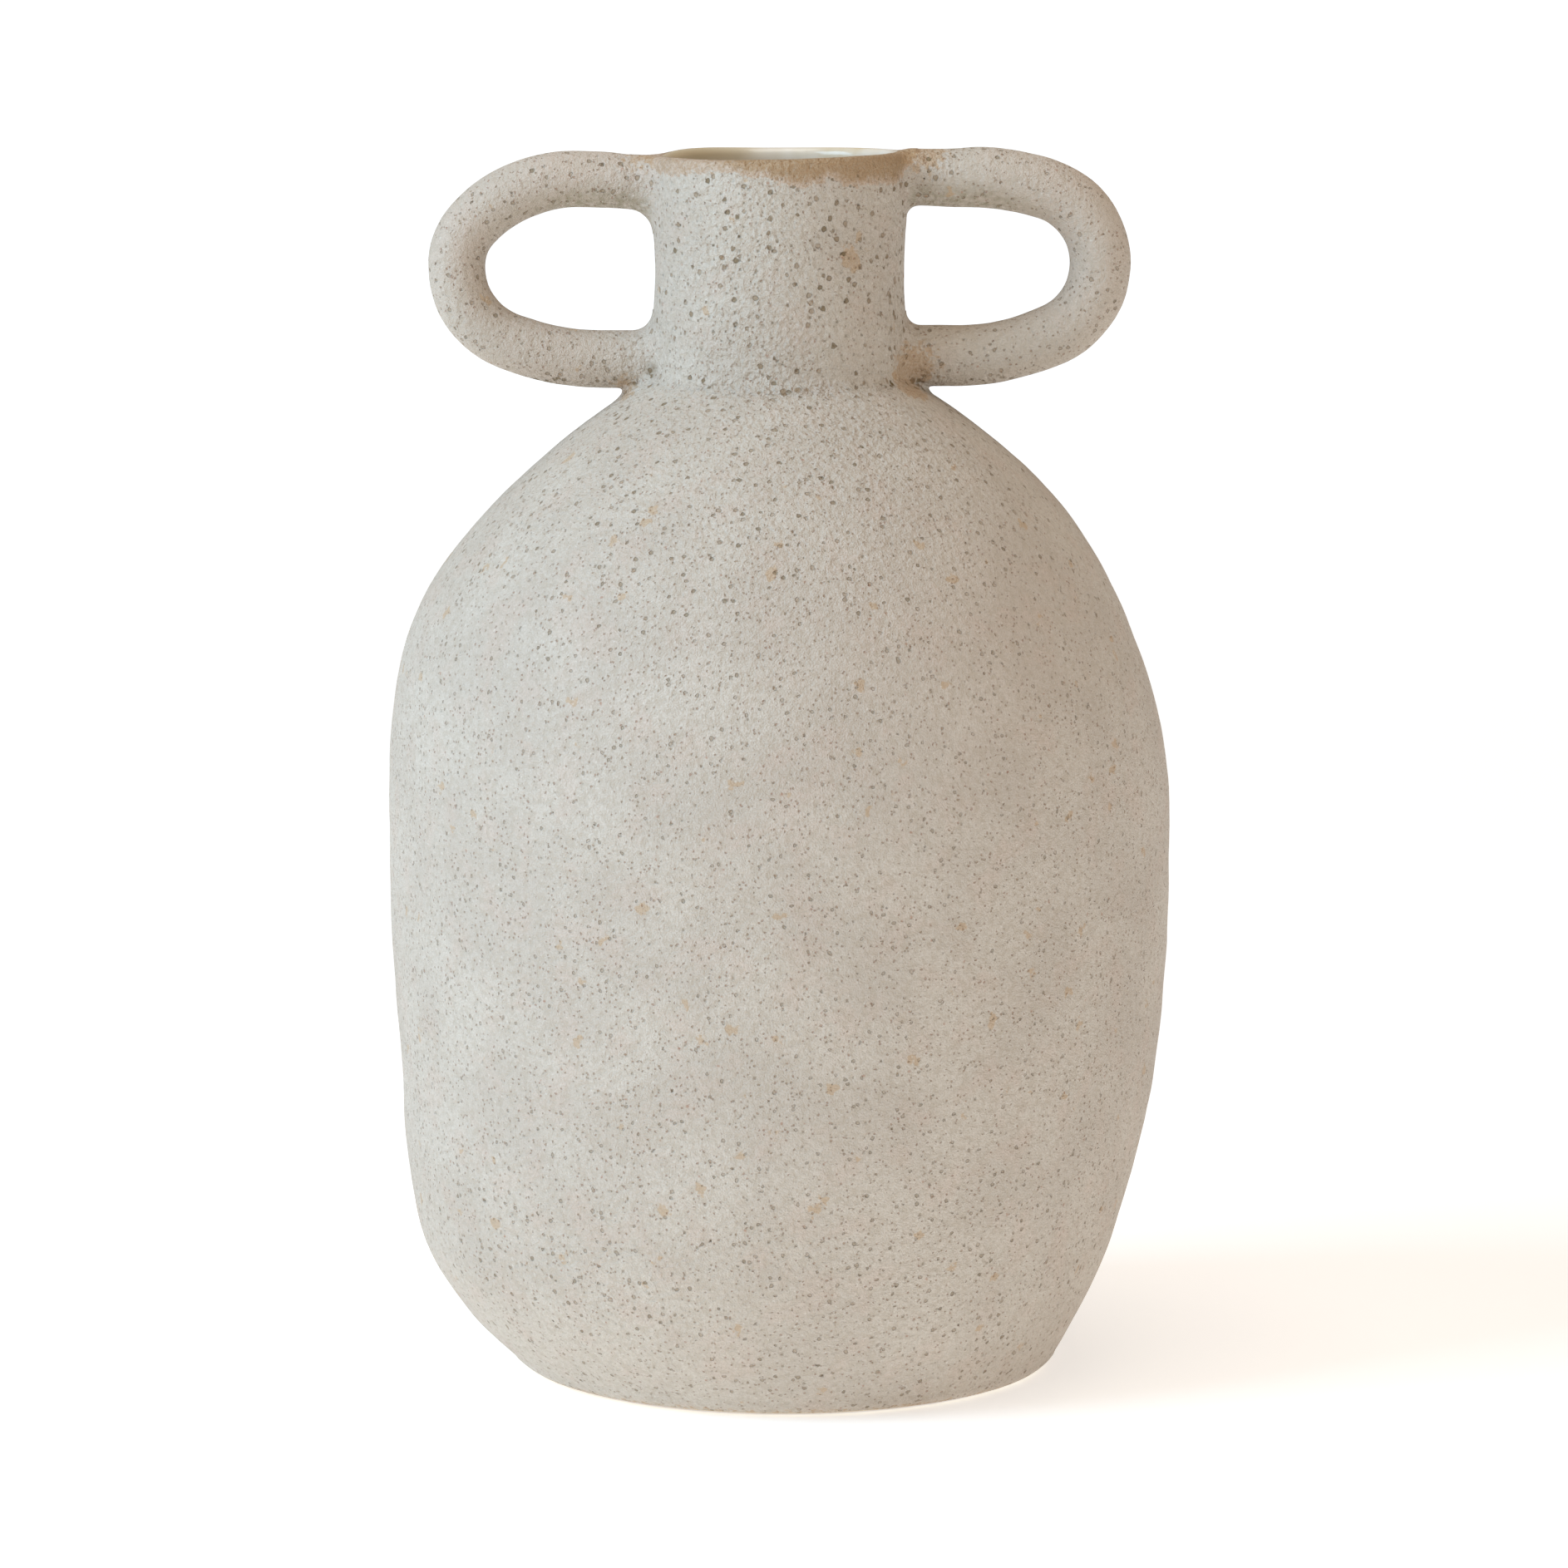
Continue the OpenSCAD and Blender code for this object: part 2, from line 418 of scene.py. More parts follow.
    def skin_radius(self, z: float) -> float:
        """Radius of the outer skin at a height.

        Args:
            z: The height.

        Returns:
            The radius, read between the rows of the skin's table.
        """
        index = min(max(bisect.bisect(self.skin, (z, 0.0)), 1), len(self.skin) - 1)
        (low, first), (high, second) = self.skin[index - 1], self.skin[index]
        share = min(1.0, max(0.0, (z - low) / max(high - low, 1e-9)))
        return first + (second - first) * share


@dataclass(frozen=True)
class Push:
    """How far clay has moved around a height, in millimetres."""

    height: float
    width: float
    distance: float

    def at(self, z: float) -> float:
        """Distance moved at a height, both in metres."""
        return self.distance * MM * bell(z / MM - self.height, self.width)


@dataclass(frozen=True)
class Hand:
    """How far the maker's hand strays from the true form."""

    foot_turning: tuple[Push, ...] = (Push(8, 4, -0.2), Push(0.5, 2.5, -0.4))
    foot_hollow: float = 55 * MM
    leans: tuple[Push, ...] = (Push(33, 18, -2.4), Push(188, 20, -2.4))
    cheeks: tuple[tuple[Side, Push], ...] = (
        (Side.LEFT, Push(30, 8, 1.3)), (Side.LEFT, Push(54, 13, 1.1)), (Side.RIGHT, Push(29, 8, 0.7)),
    )
    cheek_span: tuple[float, float] = (20 * MM, 75 * MM)
    foot_shift: Push = Push(0, 7, 1.9)
    sways: tuple[Push, ...] = (Push(95, 35, 1.2), Push(205, 24, -1.2))
    rim_tilt: float = math.radians(1.0)
    # Turn about the axis, its width, and the lift of the rim there.
    rim_wave: tuple[Triple, ...] = ((2.35, 0.35, 0.7 * MM), (-1.9, 0.4, -0.35 * MM), (3.1, 0.18, -0.3 * MM))
    wave_height: float = 14 * MM
    wheel_mark: float = 0.16 * MM
    wheel_mark_height: float = 9 * MM
    bulge: float = 0.55 * MM
    bulge_width: float = 48 * MM
    lump: float = 0.16 * MM
    lump_width: float = 11 * MM
    ripple: float = 0.05 * MM
    ripple_width: float = 3.5 * MM

    def settle(self, bm: bmesh.types.BMesh, form: Form) -> None:
        """Leans and sways a finished shell the way the soft pot settled on the wheel.

        Args:
            bm: The mesh of a piece, in place.
            form: The pot's true form.
        """
        for vert in bm.verts:
            z = vert.co.z
            wide = math.hypot(vert.co.x, vert.co.y)
            if wide > self.foot_hollow:
                grown = 1 + sum(push.at(z) for push in self.foot_turning) / wide
                vert.co.x *= grown
                vert.co.y *= grown
            vert.co.x += sum(push.at(z) for push in self.leans)
            for side, cheek in self.cheeks:
                vert.co.x += side.value * smooth(*self.cheek_span, side.value * vert.co.x) * cheek.at(z)
            vert.co.x += self.foot_shift.at(z)
            vert.co.y += sum(push.at(z) for push in self.sways)
            away = math.hypot(vert.co.x, vert.co.y) - form.neck_radius
            tilted = smooth(form.shoulder + 6 * MM, form.rim, z) * (1 - smooth(1 * MM, 13 * MM, away))
            if not tilted:
                continue
            vert.co.z += vert.co.x * math.tan(self.rim_tilt) * tilted
            turn = math.atan2(vert.co.y, vert.co.x)
            waved = smooth(form.rim - self.wave_height, form.rim, z) * tilted
            for middle, width, lift in self.rim_wave:
                gap = (turn - middle + math.pi) % math.tau - math.pi
                vert.co.z += lift * bell(gap, width) * waved

    def swell(self, point: Vector, marks: float, lumps: float, bulges: float) -> float:
        """How far the surface stands proud of the true form at a point.

        Args:
            point: The point on the true form.
            marks: Strength of the wheel's marks, 0 to 1.
            lumps: Strength of the lumps and ripples.
            bulges: Strength of the broad bulges.

        Returns:
            The offset along the normal.
        """
        turn = Vector((point.x, point.y, 0)).normalized() * 0.6
        turn.z = point.z / self.wheel_mark_height
        offset = self.wheel_mark * marks * noise.noise(turn + Vector((7, 0, 0)))
        offset += self.bulge * bulges * noise.noise(point / self.bulge_width)
        offset += self.lump * lumps * noise.noise(point / self.lump_width + Vector((3, 9, 1)))
        offset += self.ripple * lumps * noise.noise(point / self.ripple_width + Vector((5, 2, 8)))
        return offset

    def press(
        self, bm: bmesh.types.BMesh, verts: Iterable[bmesh.types.BMVert], marks: float, lumps: float,
        bulges: float = 1.0, fade: tuple[float, float] = (-2 * MM, -1 * MM),
    ) -> None:
        """Presses the swellings that fingers leave in soft clay into a surface.

        Args:
            bm: The mesh.
            verts: The vertices of the surface.
            marks: Strength of the wheel's marks.
            lumps: Strength of the lumps and ripples.
            bulges: Strength of the broad bulges.
            fade: Heights between which the swellings come in.
        """
        bm.normal_update()
        moves = [(v, v.normal * self.swell(v.co, marks, lumps, bulges)) for v in verts]
        for vert, move in moves:
            vert.co += move * smooth(*fade, vert.co.z)


@dataclass(frozen=True)
class Pits:
    """Burst bubbles in the glaze, cut into the mesh."""

    seed: int
    spacing: float = 6.9 * MM
    smallest: float = 0.3 * MM
    largest: float = 0.62 * MM
    depth: float = 0.3 * MM
    # Share of the radius and of the depth, from a crater's edge to its floor.
    profile: tuple[tuple[float, float], ...] = ((1.0, 0.0), (0.62, 0.8), (0.25, 1.0))
    ragged: tuple[float, float] = (0.8, 1.25)
    tones: tuple[float, float] = (0.4, 1)
    room: float = 0.48

    def cut(self, bm: bmesh.types.BMesh, faces: list[bmesh.types.BMFace]) -> None:
        """Sinks scattered faces into small round craters and marks their floors.

        Args:
            bm: The mesh.
            faces: The faces of the glazed skin.
        """
        sunk = bm.verts.layers.float.new("pit")
        # The order of a mesh's faces differs from run to run, so the draws follow their places instead.
        faces = sorted(faces, key=lambda face: sorted(tuple(vert.co) for vert in face.verts))
        draw = random.Random(self.seed)
        wanted = sum(face.calc_area() for face in faces) / self.spacing**2
        craters, taken = [], set()
        for face in draw.sample(faces, len(faces)):
            if len(craters) >= wanted:
                break
            if len(face.verts) == 4 and not any(v in taken for v in face.verts):
                craters.append(face)
                taken.update(face.verts)
        sizes = []
        for face in craters:
            room = self.room * min(edge.calc_length() for edge in face.edges)
            size = self.smallest + (self.largest - self.smallest) * draw.random() ** 2
            tone = draw.uniform(*self.tones)
            sizes.append((face.calc_center_median(), face.normal.copy(), min(room, size), tone))
        for share, drop in self.profile:
            bmesh.ops.inset_individual(bm, faces=craters, thickness=0.01 * MM, use_even_offset=False)
            for face, (centre, normal, size, tone) in zip(craters, sizes):
                for vert in sorted(face.verts, key=lambda corner: corner.co.dot(CORNER_ORDER)):
                    out = vert.co - centre
                    out = (out - out.project(normal)).normalized()
                    reach = size * share * draw.uniform(*self.ragged)
                    vert.co = centre + out * reach - normal * self.depth * drop * size / self.largest
                    vert[sunk] = tone * (drop > 0)


@dataclass(frozen=True)
class Patch:
    """A patch on the glaze: its place and radius in millimetres, and its strength."""

    x: float
    y: float
    z: float
    radius: float
    strength: float

    def at(self, point: Vector) -> float:
        """Strength of the patch at a point, which is in metres."""
        return self.strength * bell((point / MM - Vector((self.x, self.y, self.z))).length, self.radius)


@dataclass(frozen=True)
class Firing:
    """Where the kiln coloured the glaze, and where shade is painted under the upper arms. It is kept as
    attributes on every glazed mesh.
    """

    # Turn about the axis, the front at -pi / 2, and depth of the brown band in millimetres.
    rim_band: tuple[tuple[float, float], ...] = (
        (-3.14, 4.0), (-2.8, 3.6), (-2.46, 3.8), (-2.27, 2.9), (-2.11, 3.0), (-1.96, 2.8), (-1.82, 4.4),
        (-1.69, 3.9), (-1.56, 6.1), (-1.43, 7.0), (-1.29, 6.5), (-1.15, 5.1), (-1.04, 7.2), (-0.92, 7.8),
        (-0.79, 7.2), (-0.64, 7.6), (-0.49, 8.1), (-0.25, 5.9), (0.0, 4.6), (0.4, 3.4), (0.6, 5.0),
        (0.9, 3.2), (1.2, 5.4), (1.5, 4.6), (1.8, 3.0), (2.1, 4.4), (2.4, 3.4), (2.7, 2.8), (3.14, 4.0),
    )
    no_band: float = -20.0
    stains: tuple[Patch, ...] = (
        Patch(33, -10, 247.5, 5, 0.95), Patch(31.5, -13, 242.5, 3, 0.6), Patch(-38, -6, 242.8, 2.6, 0.9),
        Patch(17, -26, 276.5, 1.8, 1.1), Patch(18.6, -25, 273.8, 1.1, 1), Patch(34, -4, 301, 5, 1),
        Patch(-34, -5, 301, 4, 0.7),
    )
    blushes: tuple[Patch, ...] = (
        Patch(-50, -6, 299, 12, 1), Patch(-82, -4, 280, 13, 0.7), Patch(-56, -6, 252, 13, 0.8),
        Patch(70, -5, 297, 14, 0.8), Patch(82, -4, 268, 12, 0.6), Patch(52, -90, 205, 30, 0.4),
    )
    dimple: Patch = Patch(-31.3, -8.6, 247.8, 1.3, 1)
    dimple_depth: float = 0.8 * MM
    hem_stain: float = 0.4
    hem_fade: tuple[float, float] = (1.4 * MM, 3.2 * MM)
    # The glaze boiled most near the neck, and a little low on the belly.
    boiled_high: tuple[float, float] = (150 * MM, 262 * MM)
    boiled_low: tuple[float, float] = (30 * MM, 75 * MM)
    boiled_low_share: float = 0.45
    handles_start: tuple[float, float] = (34 * MM, 46 * MM)
    handle_boil_loss: float = 0.6
    # Painted shade under the upper arms, near the neck, on faces that look down.
    underside_shade_start: tuple[float, float] = (29 * MM, 33 * MM)
    underside_shade_end: tuple[float, float] = (46 * MM, 72 * MM)
    seam_drop: float = 0.3 * MM
    seam_width: float = 0.8 * MM

    def band_depth(self, turn: float) -> float:
        """How far the brown band runs down from the rim at a turn about the axis.

        Args:
            turn: The turn in radians, from -pi to pi. The front is at -pi / 2.

        Returns:
            The depth.
        """
        band = self.rim_band
        index = min(max(bisect.bisect(band, (turn, 0.0)), 1), len(band) - 1)
        (first, depth), (last, next_depth) = band[index - 1], band[index]
        return (depth + (next_depth - depth) * smooth(first, last, turn)) * MM

    def band(self, point: Vector, form: Form, tilt: float) -> float:
        """How far inside the brown band a point lies.

        Args:
            point: The point.
            form: The pot's true form.
            tilt: Tilt of the rim in radians.

        Returns:
            Millimetres above the band's lower edge, less on the left, where the glaze lies thicker.
        """
        if point.z <= form.shoulder - 15 * MM:
            return self.no_band
        level = form.rim + point.x * math.tan(tilt) - self.band_depth(math.atan2(point.y, point.x))
        near = math.hypot(point.x, point.y) - form.neck_radius
        thinnest = 0.8 + 3.8 * smooth(-20 * MM, 4 * MM, point.x)
        return min(thinnest, (point.z - level) / MM - max(0.0, near / MM) * 1.4)

    def colour(self, bm: bmesh.types.BMesh, form: Form, tilt: float) -> None:
        """Stores every mark of the firing on a mesh, with the painted shade under the upper arms, and
        presses the dimple in.

        Args:
            bm: The mesh of a glazed piece, in place.
            form: The pot's true form.
            tilt: Tilt of the rim in radians.
        """
        floats = bm.verts.layers.float
        layer = {name: floats.get(name) or floats.new(name) for name in MARKS}
        for vert in bm.verts:
            co, aside = vert.co, abs(vert.co.x)
            vert[layer["rim_band"]] = self.band(co, form, tilt)
            hem = self.hem_stain * (1 - smooth(*self.hem_fade, co.z))
            vert[layer["stain"]] = max(hem, min(1.0, sum(patch.at(co) for patch in self.stains)))
            vert[layer["blush"]] = min(1.0, sum(patch.at(co) for patch in self.blushes))
            out = smooth(*self.handles_start, aside) * (co.z > form.shoulder - 3 * MM)
            boiled = smooth(*self.boiled_high, co.z)
            boiled += self.boiled_low_share * (1 - smooth(*self.boiled_low, co.z))
            vert[layer["bubbled"]] = boiled * (1 - self.handle_boil_loss * out)
            vert[layer["handled"]] = out
            # Painted shade: faces that look down, under the upper arms near the neck, get the olive colour.
            under = smooth(-0.1, 0.75, -vert.normal.z) * (co.z > form.rim - 20 * MM)
            vert[layer["underside_shade"]] = (
                under * smooth(*self.underside_shade_start, aside) * (1 - smooth(*self.underside_shade_end, aside))
            )
            dent = self.dimple.at(co)
            vert[layer["pit"]] = max(vert[layer["pit"]], dent)
            vert.co -= vert.normal * dent * self.dimple_depth
            vert[layer["seam"]] = bell(vert.co.z - form.shoulder + self.seam_drop, self.seam_width)


# ------------------------------------------------------------------ finishes


@dataclass(frozen=True)
class Spots:
    """Scattered round spots, in millimetres."""

    gap: float  # between neighbours in space
    radius: float  # of the largest; the surface cuts most of them smaller
    keep: float  # share of the spots that is kept
    edge: float  # share of the radius that the soft edge takes
    grid: Grid = Grid.WOBBLY
    boils: bool = False  # larger where the glaze boiled

    def draw(self, tree: Tree, grids: dict[Grid, Socket], boiled: Socket) -> tuple[Socket, Socket]:
        """Draws the spots.

        Args:
            tree: The finish's node tree.
            grids: The coordinates to choose from.
            boiled: How much the glaze boiled.

        Returns:
            A mask of 1 inside and 0 outside, and a random number that differs from spot to spot.
        """
        cells = add_node(
            tree, "ShaderNodeTexVoronoi", {"Vector": grids[self.grid], "Scale": 1 / (self.gap * MM)}
        )
        split = add_node(tree, "ShaderNodeSeparateColor", {"Color": cells.outputs["Color"]})
        distance = cells.outputs["Distance"]
        if self.boils:
            grown = add_node(tree, "ShaderNodeMath", {0: boiled, 1: 0.45, 2: 0.8}, operation="MULTIPLY_ADD")
            distance = add_node(
                tree, "ShaderNodeMath", {0: distance, 1: grown.outputs[0]}, operation="DIVIDE"
            ).outputs[0]
        reach = self.radius / self.gap
        round_spot = add_node(
            tree, "ShaderNodeMapRange", {0: distance, 1: reach * (1 - self.edge), 2: reach, 3: 1.0, 4: 0.0},
            interpolation_type="SMOOTHSTEP",
        )
        kept = add_node(
            tree, "ShaderNodeMath", {0: split.outputs["Red"], 1: self.keep}, operation="LESS_THAN"
        )
        mask = add_node(
            tree, "ShaderNodeMath", {0: round_spot.outputs[0], 1: kept.outputs[0]}, operation="MULTIPLY"
        )
        return mask.outputs[0], split.outputs["Green"]


@dataclass(frozen=True)
class Cloud:
    """Cloudy noise: width of a cloud in millimetres, noise values that give 0 and 1, and octaves."""

    size: float
    low: float
    high: float
    detail: float
    grid: Grid = Grid.STRAIGHT

    def draw(self, tree: Tree, grids: dict[Grid, Socket]) -> Socket:
        """Draws the clouds.

        Args:
            tree: The finish's node tree.
            grids: The coordinates to choose from.

        Returns:
            The stretched noise.
        """
        clouds = add_node(
            tree, "ShaderNodeTexNoise",
            {"Vector": grids[self.grid], "Scale": 1 / (self.size * MM), "Detail": self.detail},
        )
        return add_node(
            tree, "ShaderNodeMapRange", {0: clouds.outputs["Fac"], 1: self.low, 2: self.high},
            interpolation_type="SMOOTHSTEP",
        ).outputs[0]


@dataclass(frozen=True)
class MattPittedGlaze:
    """Matt feldspar glaze over stoneware, fired thick, so that bubbles burst into pinholes.

    It gives the eye a dry cream-grey skin, sandy at close range, with grey and rusty pinholes, larger olive
    craters where it boiled near the neck, soft ochre blotches, and a band broken to sandy brown where it ran
    thin over the lip. The olive under the upper arms is painted shade.
    """

    light: str = "#d4cbbf"
    dark: str = "#cac0b4"
    pink: str = "#d3beb0"
    sand: str = "#b9ac9a"
    grey_hole: str = "#92734c"
    rusty_hole: str = "#a5745a"
    fleck: str = "#e6e0d6"
    crater: str = "#74613f"
    ochre: str = "#c0a381"
    burnt: str = "#a1794c"
    # Painted shade under the upper arms.
    olive: str = "#8b8264"
    band_pale: str = "#c8b5a2"
    band_brown: str = "#ac906e"
    roughness: float = 0.62
    ior: float = 1.5
    relief: float = 0.36 * MM
    spots: tuple[tuple[str, Spots], ...] = (
        ("pinholes", Spots(1.3, 0.35, 0.75, 0.6)),
        ("craters", Spots(2.9, 0.62, 0.72, 0.35, boils=True)),
        ("stitches", Spots(2.3, 0.75, 0.75, 0.4)),
        ("freckles", Spots(4.8, 0.5, 0.5, 0.7)),
        ("flecks", Spots(1.8, 0.34, 0.45, 0.6)),
        ("blotches", Spots(10, 1.6, 0.6, 0.3, Grid.SMEARED)),
    )
    clouds: tuple[tuple[str, Cloud], ...] = (
        ("grain", Cloud(0.45, 0.3, 0.7, 1)),
        ("sandy", Cloud(0.7, 0.35, 0.65, 2)),
        ("boil", Cloud(1.4, 0.2, 0.8, 4)),
        ("ragged", Cloud(1.5, 0.25, 0.75, 3)),
        ("gritty", Cloud(1.6, 0.42, 0.68, 3)),
        ("rosy", Cloud(9, 0.48, 0.7, 3, Grid.WOBBLY)),
        ("drifts", Cloud(24, 0.36, 0.66, 3)),
    )

    def grids(self, tree: Tree, place: Socket) -> dict[Grid, Socket]:
        """Bends the coordinates, so that round spots come out uneven or smeared.

        Args:
            tree: The finish's node tree.
            place: Object coordinates.

        Returns:
            The coordinates by name.
        """
        grids = {Grid.STRAIGHT: place}
        for grid, width, shift, detail, middle in (
            (Grid.WOBBLY, 0.9 * MM, 0.8 * MM, 1.0, 0.5), (Grid.SMEARED, 2.2 * MM, 5 * MM, 2.0, 0.0),
        ):
            swirl = add_node(
                tree, "ShaderNodeTexNoise", {"Vector": place, "Scale": 1 / width, "Detail": detail}
            )
            centred = add_node(
                tree, "ShaderNodeVectorMath", {0: swirl.outputs["Color"], 1: (middle,) * 3},
                operation="SUBTRACT",
            )
            grids[grid] = add_node(
                tree, "ShaderNodeVectorMath", {0: centred.outputs[0], 1: (shift,) * 3, 2: place},
                operation="MULTIPLY_ADD",
            ).outputs[0]
        return grids

    def combine(self, tree: Tree, masks: dict[str, Socket], steps: tuple[tuple, ...]) -> None:
        """Works new masks out from those at hand.

        Args:
            tree: The finish's node tree.
            masks: The masks by name, to which the new ones are added.
            steps: The new mask's name, how it is worked out, and its inputs, where a text names a mask.
        """
        for name, how, *values in steps:
            inputs = {i: masks[v] if isinstance(v, str) else v for i, v in enumerate(values)}
            if how == "SMOOTHSTEP":
                node = add_node(tree, "ShaderNodeMapRange", inputs, interpolation_type=how)
            else:
                node = add_node(tree, "ShaderNodeMath", inputs, operation=how)
            masks[name] = node.outputs[0]

    def build(self) -> bpy.types.Material:
        """Builds the glaze.

        Returns:
            The material, for every glazed piece on the outside.
        """
        material, tree, place = start_finish("matt_pitted_stoneware_glaze")
        grids = self.grids(tree, place)
        masks = {
            name: add_node(tree, "ShaderNodeAttribute", attribute_name=name).outputs["Fac"]
            for name in MARKS
        }
        self.combine(tree, masks, (("boiled", "MULTIPLY_ADD", "seam", 0.8, "bubbled"),))
        for name, spots in self.spots:
            masks[name], masks[f"{name}_tone"] = spots.draw(tree, grids, masks["boiled"])
        for name, cloud in self.clouds:
            masks[name] = cloud.draw(tree, grids)
        masks["dimples"] = add_node(
            tree, "ShaderNodeTexVoronoi", {"Vector": grids[Grid.WOBBLY], "Scale": 1 / (1.7 * MM)}
        ).outputs["Distance"]
        self.combine(tree, masks, (
            # The band below the lip, and the stains, with ragged edges.
            ("band_edge", "MULTIPLY_ADD", "ragged", 1.5, "rim_band"),
            ("band", "SMOOTHSTEP", "band_edge", 0.6, 0.95),
            ("deep_band", "SMOOTHSTEP", "band_edge", 1.0, 3.4),
            ("stain_edge", "MULTIPLY_ADD", "ragged", 0.55, "stain"),
            ("scorched", "SMOOTHSTEP", "stain_edge", 0.62, 0.86),
            # The holes, which the thin glaze of the band does not have.
            ("clear", "SUBTRACT", 1.0, "band"),
            ("small", "MULTIPLY", "pinholes", "clear"),
            ("large", "MULTIPLY", "craters", "clear"),
            ("row", "MULTIPLY", "stitches", "seam"),
            ("burst", "MULTIPLY_ADD", "boiled", 0.45, 0.55),
            ("uneven", "MULTIPLY_ADD", "craters_tone", -0.5, 1.0),
            ("shallow", "MULTIPLY", "small", 0.55),
            ("sunken", "MAXIMUM", "large", "row"),
            ("low", "MAXIMUM", "shallow", "sunken"),
            # The relief: sandy, boiled into dimples near the neck, and sunk at the holes.
            ("relief", "MULTIPLY_ADD", "grain", 0.25, 1.0),
            ("relief", "MULTIPLY_ADD", "gritty", -0.3, "relief"),
            ("boil", "MULTIPLY_ADD", "dimples", 1.2, "boil"),
            ("boil", "MULTIPLY", "boil", "boiled"),
            ("relief", "MULTIPLY_ADD", "boil", 1.1, "relief"),
            ("relief", "SUBTRACT", "relief", "low"),
            # The roughness: smoother on the band, rougher in the holes.
            ("worn", "MULTIPLY_ADD", "band", -0.2, self.roughness),
            ("dry", "MULTIPLY_ADD", "low", 0.2, "worn"),
        ))
        hole = tinted(tree, self.grey_hole, self.rusty_hole, 1.0, masks["pinholes_tone"])
        deep_hole = tinted(tree, self.crater, self.grey_hole, 1.0, masks["craters_tone"])
        skin = self.light
        for colour, strength, *names in (
            (self.dark, 1.0, "drifts"),
            (self.pink, 0.4, "rosy"),
            (self.pink, 0.7, "blush"),
            (self.sand, 0.45, "gritty"),
            (self.sand, 0.2, "bubbled"),
            (self.sand, 0.32, "handled"),
            # Painted olive shade under the upper arms, with a ragged edge.
            (self.olive, 0.8, "underside_shade", "ragged"),
            (self.sand, 0.4, "grain"),
            (self.ochre, 0.65, "blotches"),
            (self.band_pale, 1.0, "band"),
            (self.band_brown, 0.9, "deep_band"),
            (self.burnt, 0.4, "band", "sandy"),
            (self.ochre, 0.6, "scorched"),
            (self.burnt, 0.28, "scorched", "sandy"),
            (self.fleck, 0.45, "flecks", "clear"),
            (self.rusty_hole, 0.6, "freckles"),
            (hole, 0.54, "small"),
            (deep_hole, 0.85, "large", "burst", "uneven"),
            (self.crater, 0.8, "row"),
            (self.crater, 0.45, "pit", "burst"),
        ):
            skin = tinted(tree, skin, colour, strength, *(masks[name] for name in names))
        end_finish(tree, skin, masks["dry"], self.ior, masks["relief"], self.relief)
        return material


@dataclass(frozen=True)
class GlossLinerGlaze:
    """Clear cream liner glaze, poured in and out while wet. It gives the inside a smooth wet gloss."""

    cream: str = "#ebe1d2"
    tea: str = "#d6c3a2"
    # Partly thin glaze, partly painted shade.
    lip_tan_and_shade: str = "#cbbb9c"
    roughness: float = 0.16
    ior: float = 1.52
    run_width: float = 14 * MM
    wave_width: float = 6 * MM
    wave_depth: float = 0.15 * MM
    # Tan over the lip on the left: partly thin glaze, partly painted shade on the left of the bore, which
    # faces away from the key light.
    lip: tuple[float, float] = (292 * MM, 299 * MM)
    left: tuple[float, float] = (2 * MM, -20 * MM)

    def build(self) -> bpy.types.Material:
        """Builds the liner glaze with its soft runs of tea colour, and the tan over the lip on the left,
        partly thin glaze and partly painted shade.

        Returns:
            The material.
        """
        material, tree, place = start_finish("gloss_cream_liner_glaze")
        long_runs = add_node(tree, "ShaderNodeMapping", {"Vector": place, "Scale": (1.0, 1.0, 0.3)})
        clouds = add_node(
            tree, "ShaderNodeTexNoise",
            {"Vector": long_runs.outputs[0], "Scale": 1 / self.run_width, "Detail": 3.0},
        )
        axes = add_node(tree, "ShaderNodeSeparateXYZ", {"Vector": place}).outputs
        runs, thin, aside = (
            add_node(
                tree, "ShaderNodeMapRange", {0: value, 1: start, 2: end}, interpolation_type="SMOOTHSTEP"
            ).outputs[0]
            for value, (start, end) in (
                (clouds.outputs["Fac"], (0.4, 0.7)), (axes["Z"], self.lip), (axes["X"], self.left),
            )
        )
        colour = tinted(tree, self.cream, self.tea, 1.0, runs)
        # Partly thin glaze, partly painted shade on the left of the lip.
        colour = tinted(tree, colour, self.lip_tan_and_shade, 1.0, thin, aside)
        waves = add_node(
            tree, "ShaderNodeTexNoise", {"Vector": place, "Scale": 1 / self.wave_width, "Detail": 1.0}
        )
        end_finish(tree, colour, self.roughness, self.ior, waves.outputs["Fac"], self.wave_depth)
        return material


